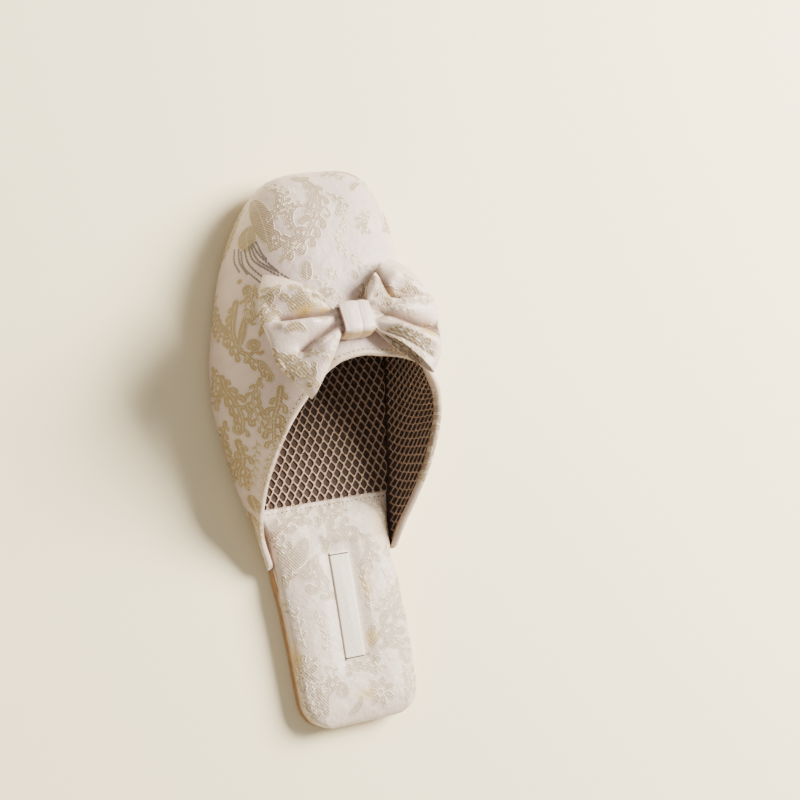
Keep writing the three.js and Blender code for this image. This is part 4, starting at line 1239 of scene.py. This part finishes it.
def set_along(shape, shape_faces, middles, ahead, up, sizes):
    """Copies of a small shape at each middle, its axes along ahead, across and up."""
    ahead = ahead / np.linalg.norm(ahead, axis=1, keepdims=True)
    across = np.cross(up, ahead)
    across /= np.linalg.norm(across, axis=1, keepdims=True)
    up = np.cross(ahead, across)
    local = shape * sizes
    points = middles[:, None] + sum(
        local[None, :, k, None] * axis[:, None] for k, axis in enumerate((ahead, across, up))
    )
    faces = shape_faces[None] + (np.arange(len(middles)) * len(shape))[:, None, None]
    return points.reshape(-1, 3), faces.reshape(-1, 3)


def stitch_row(name, line, up, pitch, hole=0.5, thread=0.17, cover=0.5):
    """Holes and threads along a line of points whose outward directions are up."""
    run = np.concatenate([[0], np.cumsum(np.linalg.norm(np.diff(line, axis=0), axis=1))])
    count = max(int(run[-1] / pitch), 1)
    spots = (np.arange(count + 1)) * run[-1] / count
    def at(values, where):
        return np.stack([np.interp(where, run, values[:, k]) for k in range(3)], -1)
    holes, threads = at(line, spots), at(line, (spots[1:] + spots[:-1]) / 2)
    slope = np.gradient(line, axis=0)
    groups = [
        set_along(bead, bead_faces, holes, at(slope, spots), at(up, spots), [hole, hole * 0.75, 0.12]),
        set_along(
            spindle,
            spindle_faces,
            threads,
            np.diff(holes, axis=0),
            at(up, (spots[1:] + spots[:-1]) / 2),
            [pitch * cover / 2, thread, thread],
        ),
    ]
    (a, fa), (b, fb) = groups
    return make_piece(name, np.concatenate([a, b]), [fa, fb + len(a)], second=[1])


stitch_pitch = 2.3
rim_feet = np.linspace(0.002, 0.998, 900)
line, up, _ = upper_face(rim_feet, distance=np.array([[2.3]]), depth=-0.14)
collar_stitches = stitch_row("collar_stitches", line[:, 0], up[:, 0], stitch_pitch)

seam_back = 2.6
row = np.argmin(np.abs(plan[:, 60, 1] - (pad_length - seam_back)))
line = pad_cloth[row, 2:-2] + [0, 0, 0.02]
seam_stitches = stitch_row(
    "pad_seam_stitches", line, np.tile([0.0, 0, 1], (len(line), 1)), stitch_pitch
)
label_stitches = []
for name, k in (("heel", 2), ("toe", 96)):
    line = label_grid(label_thickness)[k, 1:-1] + [0, 0, 0.04]
    label_stitches.append(
        stitch_row(
            f"label_stitches_{name}", line, np.tile([0.0, 0, 1], (len(line), 1)), 1.5,
            hole=0.4, thread=0.3, cover=0.9,
        )
    )

# %% [markdown]
# The bow is one padded ribbon folded into two loops and gathered by a band. It has its own frame on
# the vamp: +X along the bow, +Y to the toe, +Z away from the vamp.

# %% The bow's frame
bow_setback = 14.5
bow_foot = 0.475
bow_reach = 42.0
bow_height = 54.0
bow_pinch = 10.2
bow_loft = 9.0
bow_droop = {"lateral": 9.0, "medial": 5.5}
ribbon_thickness = 1.2
knot_width = 14.0
knot_height = 15.4
knot_thickness = 1.8
knot_hollow = 7.4

bow_point, bow_normal, _ = upper_face(
    np.array([bow_foot]), distance=np.array([[bow_setback]]), depth=-clearance
)
bow_origin, bow_up = bow_point[0, 0], bow_normal[0, 0]
bow_along = np.array([1.0, 0, 0]) - bow_up * bow_up[0]
bow_along /= np.linalg.norm(bow_along)
bow_axes = np.stack([bow_along, np.cross(bow_up, bow_along), bow_up])


def from_bow(points):
    return bow_origin + points @ bow_axes


# %% Folds across the loops, from the heel-side edge (-1) to the toe-side edge (1)
loop_names = "across span flare lift reach".split()
loop_rows = {
    "lateral": np.array(
        [
            [-1, -1.1, 1, -0.1, 0.6],
            [-0.72, -0.78, 1, 0.42, 0.8],
            [-0.4, -0.42, 1, -0.3, 0.92],
            [-0.1, -0.1, 1, 0.36, 0.94],
            [0.22, 0.24, 1, -0.25, 0.96],
            [0.62, 0.68, 0.9, 0.34, 0.89],
            [1, 1.08, 0.85, -0.05, 0.75],
        ]
    ),
    "medial": np.array(
        [
            [-1, -1, 1, -0.1, 0.77],
            [-0.7, -0.68, 1, 0.44, 0.9],
            [-0.36, -0.3, 0.95, -0.3, 0.96],
            [0, 0.06, 0.85, 0.26, 0.98],
            [0.34, 0.4, 0.65, -0.2, 0.95],
            [0.7, 0.76, 0.5, 0.36, 0.84],
            [1, 1.06, 0.45, -0.05, 0.68],
        ]
    ),
}


def loop_points(side, out, across):
    """Middle of a loop's ribbon: out runs from the knot over the outer fold and back (0 to 1)."""
    out, across = np.broadcast_arrays(out, across)
    table = loop_rows[side]
    direction = 1 if side == "medial" else -1

    def value(name):
        return read_table(table[:, 0], table[:, loop_names.index(name)], across)

    layer = np.where(out < 0.5, 1, -1)
    along = 1 - np.abs(2 * out - 1)
    gathered = 1 / 7
    bend = np.pi / 2 * clamp((along - gathered) / (1 - gathered))
    spread = np.sin(bend)
    start = knot_width / 2 + ribbon_thickness
    reach = mix(mix(0.8, start, clamp(along / gathered)), value("reach") * bow_reach, spread)
    offset = mix(across * bow_pinch / 2, value("span") * bow_height / 2, spread ** value("flare"))
    swell = ease(spread * 2.2)
    layers = layer * mix(1.1, bow_loft / 2, swell) * np.cos(bend)
    depth = mix(0.08, 0.55, swell) * (1 - 0.55 * spread**3) * np.where(layer > 0, 1, 0.6)
    pleat = value("lift") * bow_loft * depth
    middle = knot_thickness + knot_hollow / 2
    droop = bow_droop[side] * spread**2 * (0.35 + 0.65 * across**2)
    return np.stack([direction * reach, offset, middle + layers + pleat - droop], -1)


# Creases and ridges of the cloth, each along a path in the bow's frame: height over the loop, negative
# for a crease, and how wide it spreads to either side.
folds = {
    "lateral": [
        ([[-7, 4], [-12, 4.2], [-18, 4], [-25, 4], [-32, 4.8]], -4.2, 2.0),
        ([[-7, 2], [-12, 1.4], [-21, 0.8], [-34, 1]], 2.0, 1.9),
        ([[-7, -0.5], [-11, -2.4], [-16, -4.8], [-21, -7], [-27, -10.5]], -4.4, 1.9),
        ([[-8, -4], [-14, -11.5], [-20, -18.5], [-26, -25.5]], 1.9, 3.4),
        ([[-8, 7], [-15, 11.5], [-24, 15.5], [-33, 18]], 1.8, 3.6),
        ([[-14, -8.5], [-20, -11.6], [-28, -14.6], [-36, -15.4]], -1.3, 1.7),
        ([[-18, 11.6], [-26, 12.4], [-36, 12]], -1.2, 1.6),
        ([[-8, -6.4], [-12, -13], [-17, -20]], -1.5, 1.3),
        ([[-8, 5.4], [-12, 8.4], [-18, 12]], -1.4, 1.2),
    ],
    "medial": [
        ([[17, 22], [17.3, 17], [18, 12.5], [20, 9], [23, 6.8]], -3.6, 1.8),
        ([[9, 9], [11.5, 12], [14, 17]], 1.8, 2.2),
        ([[8, 5], [13, 5.4], [19, 5.2], [28, 4.8], [39, 5]], 2.4, 1.6),
        ([[8, 1.6], [15, 0.4], [21, -2], [29, -5.4], [38, -8.4]], -3.8, 2.2),
        ([[8, -1.6], [15, -5.4], [24, -10.5], [34, -15.8]], 1.8, 1.9),
        ([[8, -4.2], [14, -8.8], [23, -15.2], [32, -20.8]], -1.5, 1.4),
        ([[24, 17], [30, 13.6], [37, 9]], 1.5, 2.6),
        ([[23, 11], [29, 8.8], [37, 7.6]], -1.6, 1.3),
        ([[8, 7.2], [10.4, 8.6], [13, 9.6]], -1.6, 1.2),
    ],
}


def fold_height(side, place):
    """Height of the creases and ridges at places x, y of the bow's frame."""
    flat = place.reshape(-1, 2)
    total = np.zeros(len(flat))
    for path, height, width in folds[side]:
        path = smooth_path(path)
        start, along = path[:-1], np.diff(path, axis=0)
        offset = flat[:, None] - start
        t = clamp((offset * along).sum(-1) / (along**2).sum(-1))
        gap = np.linalg.norm(offset - t[..., None] * along, axis=-1).min(1) / width
        fall = np.exp(-(gap**2)) if height > 0 else np.exp(-np.sqrt(gap**2 + 0.04) + 0.2)
        total += height * fall
    return total.reshape(place.shape[:-1])


def loop_faces(side, out_steps=150, across_steps=110):
    out = np.linspace(0, 1, out_steps + 1)[:, None]
    across = np.linspace(-1, 1, across_steps + 1)[None, :]
    tiny = 1e-3
    point = loop_points(side, out, across)
    along = 1 - np.abs(2 * out - 1)
    open_share = ease((along - 0.13) / 0.07) * (1 - ease((along - 0.8) / 0.2))
    rise = fold_height(side, point[..., :2]) * np.where(out < 0.5, open_share, 0.0)
    gap = point[..., 2] - point[::-1, :, 2] - 1.5
    point[..., 2] += np.maximum(rise, -np.maximum(gap, 0))
    forward = np.gradient(point, axis=0)
    sideways = np.gradient(point, axis=1)
    normal = np.cross(forward, sideways)
    normal /= np.linalg.norm(normal, axis=-1, keepdims=True)
    half = ribbon_thickness / 2
    return from_bow(point + normal * half), from_bow(point - normal * half), point[..., :2], rise


loop_motifs = {
    "lateral": [
        ("scroll", [[-13, 10], [-18, 12], [-23, 13], [-28, 12]], 1.1, 4.4, 0, 0, 0),
        ("leaf", [[-14, 7.5], [-17, 10], [-20, 14]], 1.3),
        ("leaf", [[-19, 7.5], [-22, 10.5], [-25, 15]], 1.4),
        ("leaf", [[-24, 7.5], [-27, 10], [-30, 14.5]], 1.3),
        ("scroll", [[-42, 3], [-39, 7], [-34.5, 8.5]], 1.0, 3.2, 0, -1, 2.0),
        ("scroll", [[-41, -5], [-41, -10], [-37.5, -14], [-33, -17], [-31.5, -20.5]], 1.2, 4, 0, 1, 2.2),
        ("sprig", [[-34, -15], [-28, -13], [-23, -13.5], [-20, -16]], 3.2),
        ("leaf", [[-34, -2], [-29, -1], [-24.5, -3.5]], 1.8),
        ("scroll", [[-30, 19], [-35, 17], [-38, 13]], 0.9, 3, 0, 0, 0),
        ("flower", [[-19, -7.6]], 2.8),
        ("sprig", [[-10, -8], [-14, -13], [-18, -17]], 2.6),
        ("scroll", [[-24, -26], [-27, -22], [-27, -18]], 0.9, 3, 0, 0, 0),
        ("leaf", [[-12, 1.5], [-17, 1], [-22, 1.5]], 1.2),
    ],
    "medial": [
        ("scroll", [[13, 17], [15, 12], [19, 8], [25, 6.5]], 1.1, 4, 0, 0, 0),
        ("scroll", [[28, 16], [30, 11], [27, 8]], 1.0, 3.2, 0, 1, 2.0),
        ("sprig", [[24, 21], [30, 18], [35, 13]], 3),
        ("flower", [[34, 4]], 3.2),
        ("sprig", [[12, 5], [16, 3], [21, 2.5], [26, 0]], 3),
        ("scroll", [[27, -7], [32, -9.5], [37, -10]], 1.1, 3.6, 0, -1, 2.0),
        ("scroll", [[14, -8], [20, -12], [26, -16], [30, -21]], 1.0, 3.6, 0, 0, 0),
        ("leaf", [[10, -1], [14, -3], [18, -6]], 1.3),
    ],
}
loop_gilt = {
    "lateral": [([-22, 6.4], 9, 3.4), ([-13, 6], 5, 2.6)],
    "medial": [([34, -9], 7, 6), ([20, 9], 5, 3)],
}
loop_tone = {"lateral": 0.75, "medial": 0.3}

loops = {}
for side in ("lateral", "medial"):
    top, under, flat, rise = loop_faces(side)
    points, faces = shell(top, under)
    loops[side] = make_piece(
        f"loop_cloth_{side}", points, faces, [f"bow_loop_{side}"], sharp=70
    )
    flat = flat.reshape(-1, 2)
    shine = patches(flat, loop_gilt[side])
    weave(
        loops[side],
        np.tile(flat, (2, 1)),
        loop_motifs[side],
        tone=loop_tone[side],
        gilt=np.tile(shine, 2),
    )
    # Painted shade: the bow's cloth is darkened in its deep creases and close beside the knot, where shade
    # falls.
    beside_knot = np.exp(-np.maximum(np.abs(flat[:, 0]) - knot_width / 2, 0) / 1.6)
    crease_shade = np.maximum(ease((-rise.ravel() - 0.5) / 2.6), 0.7 * beside_knot)
    paint(loops[side], "shade", np.tile(crease_shade, 2))

# %% The knot
knot_around, knot_across = 96, 40


def knot_grid(inner):
    turn = np.linspace(0, 2 * np.pi, knot_around + 1)[:, None]
    share = np.linspace(-1, 1, knot_across + 1)[None, :]
    full = 0 * share if inner else knot_thickness * (1 - 0.35 * share**2)
    if not inner:
        for at, height, width in ((-0.5, 0.2, 0.3), (0.15, -0.22, 0.1), (0.6, 0.16, 0.25)):
            full = full + height * np.exp(-(((share - at - 0.08 * np.sin(2 * turn)) / width) ** 2))
    half_y = (knot_height - 2 * knot_thickness) / 2 + full
    half_z = knot_hollow / 2 + full
    squareness = 0.4
    y = np.sign(np.cos(turn)) * np.abs(np.cos(turn)) ** squareness * half_y
    z = np.sign(np.sin(turn)) * np.abs(np.sin(turn)) ** squareness * half_z
    x = np.broadcast_to(share * knot_width / 2, y.shape)
    return from_bow(np.stack([x, y, knot_thickness + knot_hollow / 2 + z], -1))


points, faces = shell(knot_grid(False), knot_grid(True))
knot = make_piece("knot_band", points, faces, ["bow_knot"], sharp=60)
turn, share = np.meshgrid(
    np.linspace(0, 2 * np.pi, knot_around + 1), np.linspace(-1, 1, knot_across + 1), indexing="ij"
)
knot_place = np.column_stack([(turn * 7.0).ravel(), (share * knot_width / 2).ravel()])
knot_gilt = 0.8 * np.exp(-(((turn.ravel() - np.pi * 0.97) / 0.35) ** 2))
weave(knot, knot_place, tone=0.3, gilt=knot_gilt)

# %% [markdown]
# All finishes are procedural, so they stay sharp from near by and ask for no pictures. One node group
# turns the woven pattern kept in the meshes into colour, gloss and relief for every brocade piece, and
# another gives yarn and foam their fine uneven grain.

# %% A short way of wiring shader nodes
def add_node(tree, kind, inputs=(), **settings):
    node = tree.nodes.new(kind)
    for name, value in settings.items():
        setattr(node, name, value)
    for key, value in dict(inputs).items():
        if isinstance(value, bpy.types.NodeSocket):
            tree.links.new(value, node.inputs[key])
        else:
            node.inputs[key].default_value = value
    return node


def calc(tree, operation, a, b=0.0, c=0.0):
    inputs = {0: a, 1: b, 2: c}
    return add_node(tree, "ShaderNodeMath", inputs, operation=operation).outputs[0]


def ramp(tree, value, low, high, to_low=0.0, to_high=1.0):
    inputs = {"Value": value, "From Min": low, "From Max": high, "To Min": to_low, "To Max": to_high}
    node = add_node(tree, "ShaderNodeMapRange", inputs, interpolation_type="SMOOTHSTEP")
    return node.outputs["Result"]


def blend_colors(tree, share, a, b):
    node = add_node(tree, "ShaderNodeMix", data_type="RGBA")
    for socket, value in ((node.inputs[0], share), (node.inputs[6], a), (node.inputs[7], b)):
        if isinstance(value, bpy.types.NodeSocket):
            tree.links.new(value, socket)
        else:
            socket.default_value = value
    return node.outputs[2]


def attribute(tree, name, output="Fac"):
    return add_node(tree, "ShaderNodeAttribute", attribute_name=name).outputs[output]


def noise(tree, place, scale, detail=2.0, roughness=0.5):
    inputs = {"Vector": place, "Scale": scale, "Detail": detail, "Roughness": roughness}
    return add_node(tree, "ShaderNodeTexNoise", inputs).outputs["Fac"]


def stretched(tree, place, scale):
    inputs = {"Vector": place, "Scale": scale}
    return add_node(tree, "ShaderNodeMapping", inputs).outputs["Vector"]


def new_group(name, inputs, outputs):
    tree = bpy.data.node_groups.new(name, "ShaderNodeTree")
    kinds = {"color": "NodeSocketColor", "value": "NodeSocketFloat", "vector": "NodeSocketVector"}
    for side, sockets in (("INPUT", inputs), ("OUTPUT", outputs)):
        for label_text, kind in sockets.items():
            tree.interface.new_socket(label_text, in_out=side, socket_type=kinds[kind])
    return tree, tree.nodes.new("NodeGroupInput"), tree.nodes.new("NodeGroupOutput")


# %% Woven brocade as colour, gloss and relief
brocade_group, given, result = new_group(
    "woven brocade",
    {"Ground": "color", "Pattern": "value"},
    {"Color": "color", "Roughness": "value", "Height": "value"},
)
t = brocade_group
cloth = attribute(t, "cloth", "Vector")
parts = add_node(t, "ShaderNodeSeparateXYZ", {0: cloth}).outputs
motif, vein = attribute(t, "motif"), attribute(t, "vein")
ragged = calc(t, "MULTIPLY_ADD", noise(t, cloth, 1.6, 1.0), 0.3, -0.15)
inside = ramp(t, calc(t, "ADD", motif, ragged), 0.14, -0.14)
inside = calc(t, "MULTIPLY", inside, given.outputs["Pattern"])
slant = calc(t, "MULTIPLY_ADD", parts[0], 0.8, calc(t, "MULTIPLY", parts[1], 0.6))
hatch = ramp(t, calc(t, "SINE", calc(t, "MULTIPLY", slant, 2 * np.pi / 1.05)), -0.4, 0.6)
floats = noise(t, stretched(t, cloth, (0.8, 4.2, 1)), 1.0, 3.0, 0.6)
flecks = noise(t, cloth, 2.6, 2.0, 0.6)
mottle = noise(t, cloth, 0.09, 2.0)
ribs = calc(t, "SINE", calc(t, "MULTIPLY", parts[1], 2 * np.pi / 0.46))

shade = blend_colors(t, ramp(t, mottle, 0.3, 0.7), (0.93, 0.9, 0.9, 1), (1.03, 1.03, 0.99, 1))
ground = add_node(t, "ShaderNodeVectorMath", {0: given.outputs["Ground"], 1: shade}, operation="MULTIPLY")
streak = blend_colors(t, ramp(t, floats, 0.3, 0.7), (0.82, 0.79, 0.78, 1), (1.1, 1.1, 1.09, 1))
ground = add_node(t, "ShaderNodeVectorMath", {0: ground.outputs[0], 1: streak}, operation="MULTIPLY")
ground = ground.outputs[0]
tone = attribute(t, "tone")
yarn = blend_colors(t, tone, (0.27, 0.185, 0.1, 1), (0.27, 0.18, 0.05, 1))
yarn = blend_colors(t, ramp(t, flecks, 0.45, 0.75, 0.0, 0.6), yarn, ground)
hatch_share = calc(t, "MULTIPLY", hatch, ramp(t, tone, 0.0, 1.0, 0.36, 0.22))
yarn = blend_colors(t, hatch_share, yarn, ground)
color = blend_colors(t, inside, ground, yarn)
# Painted shade: a thin darker ring just outside each raised motif, standing in for the shadow beside the
# raised yarn.
motif_shadow_rim = calc(t, "MULTIPLY", ramp(t, motif, 0.75, 0.2), ramp(t, motif, 0.05, 0.2))
motif_shadow_rim = calc(t, "MULTIPLY", motif_shadow_rim, given.outputs["Pattern"])
color = blend_colors(t, calc(t, "MULTIPLY", motif_shadow_rim, 0.4), color, (0.36, 0.28, 0.22, 1))
contour = ramp(t, calc(t, "ABSOLUTE", calc(t, "ADD", motif, 0.06)), 0.26, 0.08)
veins = calc(t, "MULTIPLY", ramp(t, vein, 0.24, 0.08), ramp(t, motif, -0.2, -0.45))
light_line = calc(t, "MULTIPLY", calc(t, "MAXIMUM", contour, veins), given.outputs["Pattern"])
light_line = calc(t, "MULTIPLY", light_line, ramp(t, tone, 0.0, 1.0, 0.75, 0.4))
color = blend_colors(t, light_line, color, (0.86, 0.74, 0.54, 1))
feather = calc(t, "MULTIPLY", ramp(t, attribute(t, "feather"), 0.22, -0.08), 0.95)
color = blend_colors(t, feather, color, (0.1, 0.075, 0.065, 1))
gilt = calc(t, "MULTIPLY", attribute(t, "gilt"), ramp(t, floats, 0.25, 0.6, 0.75, 1.0))
color = blend_colors(t, gilt, color, (0.52, 0.33, 0.05, 1))
# Painted shade: where the shade attribute is set, the colour goes towards dark brown, as in the shade of the
# bow's creases.
shade = calc(t, "MULTIPLY", attribute(t, "shade"), 0.8)
color = blend_colors(t, shade, color, (0.16, 0.09, 0.06, 1))
t.links.new(color, result.inputs["Color"])

rough = calc(t, "MULTIPLY_ADD", inside, 0.1, calc(t, "MULTIPLY_ADD", floats, 0.16, 0.28))
t.links.new(rough, result.inputs["Roughness"])
relief = calc(t, "MULTIPLY_ADD", inside, 0.8, calc(t, "MULTIPLY", light_line, 0.5))
relief = calc(t, "ADD", relief, calc(t, "MULTIPLY", calc(t, "MULTIPLY", hatch, inside), 0.35))
relief = calc(t, "ADD", relief, calc(t, "MULTIPLY", floats, 0.6))
relief = calc(t, "ADD", relief, calc(t, "MULTIPLY", ribs, 0.12))
relief = calc(t, "MULTIPLY_ADD", noise(t, cloth, 0.22, 2.0), 3.0, relief)
t.links.new(relief, result.inputs["Height"])
print("brocade group:", len(t.nodes), "nodes")

# %% Fine uneven grain
grain_group, given, result = new_group(
    "fine grain",
    {"Base": "color", "Worn": "color", "Size": "value"},
    {"Color": "color", "Height": "value"},
)
t = grain_group
spot = add_node(t, "ShaderNodeTexCoord").outputs["Object"]
fine = noise(t, spot, 2600.0, 3.0, 0.65)
size = given.outputs["Size"]
coarse = add_node(
    t, "ShaderNodeTexNoise", {"Vector": spot, "Scale": size, "Detail": 4.0, "Roughness": 0.6}
).outputs["Fac"]
blotch = ramp(t, calc(t, "MULTIPLY_ADD", fine, 0.35, calc(t, "MULTIPLY", coarse, 0.65)), 0.38, 0.62)
t.links.new(blend_colors(t, blotch, given.outputs["Base"], given.outputs["Worn"]), result.inputs["Color"])
t.links.new(calc(t, "ADD", fine, coarse), result.inputs["Height"])


# %% Materials
def new_material(name, **values):
    material = bpy.data.materials.new(name)
    material.use_nodes = True
    shader = material.node_tree.nodes["Principled BSDF"]
    for key, value in values.items():
        shader.inputs[key.replace("_", " ")].default_value = value
    return material, material.node_tree, shader


def add_bump(tree, shader, height, distance, strength=1.0):
    inputs = {"Height": height, "Distance": distance, "Strength": strength}
    bump = add_node(tree, "ShaderNodeBump", inputs)
    tree.links.new(bump.outputs["Normal"], shader.inputs["Normal"])


def brocade_material(name, ground, pattern=1.0, sheen=0.08, relief=0.00016):
    values = {"Sheen_Weight": sheen, "Sheen_Roughness": 0.35, "Specular_IOR_Level": 0.6}
    material, tree, shader = new_material(name, **values)
    cloth_look = tree.nodes.new("ShaderNodeGroup")
    cloth_look.node_tree = brocade_group
    cloth_look.inputs["Ground"].default_value = (*ground, 1)
    cloth_look.inputs["Pattern"].default_value = pattern
    tree.links.new(cloth_look.outputs["Color"], shader.inputs["Base Color"])
    tree.links.new(cloth_look.outputs["Roughness"], shader.inputs["Roughness"])
    add_bump(tree, shader, cloth_look.outputs["Height"], relief)
    return material


def grain_material(name, base, worn, size, roughness, relief):
    material, tree, shader = new_material(name, Roughness=roughness)
    grain = tree.nodes.new("ShaderNodeGroup")
    grain.node_tree = grain_group
    grain.inputs["Base"].default_value = (*base, 1)
    grain.inputs["Worn"].default_value = (*worn, 1)
    grain.inputs["Size"].default_value = size
    tree.links.new(grain.outputs["Color"], shader.inputs["Base Color"])
    add_bump(tree, shader, grain.outputs["Height"], relief)
    return material, tree, shader, grain


satin = (0.64, 0.51, 0.47)
upper_brocade = brocade_material("upper brocade", satin)
bow_brocade = brocade_material("bow brocade", (0.68, 0.54, 0.47))
pad_brocade = brocade_material("pad brocade", (0.64, 0.52, 0.44), pattern=0.85)
edge_satin = brocade_material("folded edge brocade", (0.62, 0.49, 0.39), pattern=0.8, relief=0.00007)
net_yarn = grain_material("net yarn", (0.3, 0.19, 0.125), (0.46, 0.33, 0.24), 700.0, 0.75, 0.00012)[0]
foam = grain_material("dark foam", (0.028, 0.014, 0.009), (0.06, 0.032, 0.02), 900.0, 0.95, 0.0002)[0]
board_cover = grain_material("board cover", (0.5, 0.37, 0.27), (0.62, 0.48, 0.37), 220.0, 0.6, 0.00006)[0]
thread = grain_material("thread", (0.62, 0.52, 0.4), (0.75, 0.66, 0.53), 900.0, 0.6, 0.00004)[0]
label_thread = grain_material("label thread", (0.05, 0.03, 0.02), (0.1, 0.06, 0.04), 900.0, 0.7, 0.00004)[0]
# Painted shade: dark beads stand in for the shade inside each needle hole.
needle_hole_shade = grain_material("needle hole", (0.07, 0.045, 0.03), (0.11, 0.07, 0.05), 900.0, 0.9, 0.00002)[0]

rubber, tree, shader, grain = grain_material(
    "moulded rubber", (0.34, 0.17, 0.07), (0.42, 0.23, 0.1), 260.0, 0.55, 0.00005
)
# Painted highlight: the lower roll of the sole's side, below about 0.3 of its height, is paler, as if lit.
lit_lip = ramp(tree, attribute(tree, "rise"), 0.36, 0.3)
lit_lip_color = blend_colors(tree, calc(tree, "MULTIPLY", lit_lip, 0.6), grain.outputs["Color"], (0.5, 0.36, 0.22, 1))
tree.links.new(lit_lip_color, shader.inputs["Base Color"])

woven_label, tree, shader = new_material("woven label", Roughness=0.55, Sheen_Weight=0.2)
across, along = attribute(tree, "across"), attribute(tree, "along")
rows_of_yarn = calc(tree, "SINE", calc(tree, "MULTIPLY", along, 2 * np.pi / 0.55))
warp = calc(tree, "SINE", calc(tree, "MULTIPLY", across, 2 * np.pi * 9))
spot = add_node(tree, "ShaderNodeTexCoord").outputs["Object"]
fleck = noise(tree, spot, 1500.0, 3.0)
yarns = calc(tree, "MULTIPLY_ADD", rows_of_yarn, 0.12, calc(tree, "MULTIPLY_ADD", warp, 0.1, fleck))
body = blend_colors(tree, ramp(tree, yarns, 0.3, 0.75), (0.6, 0.51, 0.4, 1), (0.76, 0.68, 0.56, 1))
dark_edge = ramp(tree, across, -0.84, -0.9)
faded = blend_colors(tree, calc(tree, "MULTIPLY", dark_edge, 0.9), body, (0.2, 0.12, 0.07, 1))
tree.links.new(faded, shader.inputs["Base Color"])
add_bump(tree, shader, yarns, 0.00008)

for piece, materials in [
    (upper, (upper_brocade, foam)),
    (binding, (edge_satin,)),
    (heel_pad, (pad_brocade,)),
    (label, (woven_label,)),
    (loops["lateral"], (bow_brocade,)),
    (loops["medial"], (bow_brocade,)),
    (knot, (bow_brocade,)),
    (footbed_net, (net_yarn,)),
    (wall_net, (net_yarn,)),
    (footbed_foam, (foam,)),
    (outsole, (rubber,)),
    (board, (board_cover,)),
    (collar_stitches, (needle_hole_shade, thread)),
    (seam_stitches, (needle_hole_shade, thread)),
    *((row, (needle_hole_shade, label_thread)) for row in label_stitches),
]:
    for material in materials:
        piece.data.materials.append(material)

# %% [markdown]
# The slipper stands on a plain pale floor in soft studio light. One could light it with a sun lamp, but
# its shadow has a hard edge. Area lights are used instead, because the size of such a light sets how soft
# the shadow is. The strong one stands like a window on the big-toe side, and the weak one and the pale
# world lift the shadows.

# %% Floor and light
floor_mesh = bpy.data.meshes.new("floor")
floor_mesh.from_pydata([(-3, -3, 0), (3, -3, 0), (3, 3, 0), (-3, 3, 0)], [], [(0, 1, 2, 3)])
floor = bpy.data.objects.new("floor", floor_mesh)
floor_material, _, _ = new_material("floor", Base_Color=(0.91, 0.8, 0.53, 1), Roughness=0.85)
floor_mesh.materials.append(floor_material)
bpy.context.scene.collection.objects.link(floor)


def area_light(name, spot, aim, size, watts, color):
    light = bpy.data.lights.new(name, "AREA")
    light.size, light.energy, light.color = size, watts, color
    lamp = bpy.data.objects.new(name, light)
    lamp.location = spot
    direction = Matrix.Translation(aim).translation - lamp.location
    lamp.rotation_euler = direction.to_track_quat("-Z", "Y").to_euler()
    bpy.context.scene.collection.objects.link(lamp)


area_light("window", (1.05, 0.35, 0.95), (0, 0, 0.03), 0.8, 124, (1, 0.96, 0.88))
area_light("fill", (-0.9, -0.4, 1.2), (0, 0, 0.03), 1.4, 5, (1, 0.93, 0.82))
world = bpy.data.worlds.new("studio")
bpy.context.scene.world = world
world.use_nodes = True
world.node_tree.nodes["Background"].inputs["Color"].default_value = (1, 0.96, 0.9, 1)
world.node_tree.nodes["Background"].inputs["Strength"].default_value = 0.36

# %% [markdown]
# In the photograph the slipper leans back, and here it stands on its sole. Turning the camera instead of
# the slipper gives the same view of it. The camera's spot is in millimetres, and its two directions are
# unit vectors in the slipper's own frame.

# %% Camera at the photograph's angle
field_of_view = np.radians(24)
camera_spot = np.array([-349.96, 84.69, 794.06])
camera_forward = np.array([0.44985, 0.06448, -0.89077])
camera_up = np.array([0.12636, 0.98276, 0.13495])

camera_right = np.cross(camera_forward, camera_up)
axes = np.column_stack([camera_right, camera_up, -camera_forward])
data = bpy.data.cameras.new("camera")
data.sensor_width = 36
data.lens = data.sensor_width / 2 / np.tan(field_of_view / 2)
data.clip_start = 0.01
camera = bpy.data.objects.new("camera", data)
camera.matrix_world = Matrix.Translation(place(camera_spot)) @ Matrix(axes.tolist()).to_4x4()
bpy.context.scene.collection.objects.link(camera)
bpy.context.scene.camera = camera
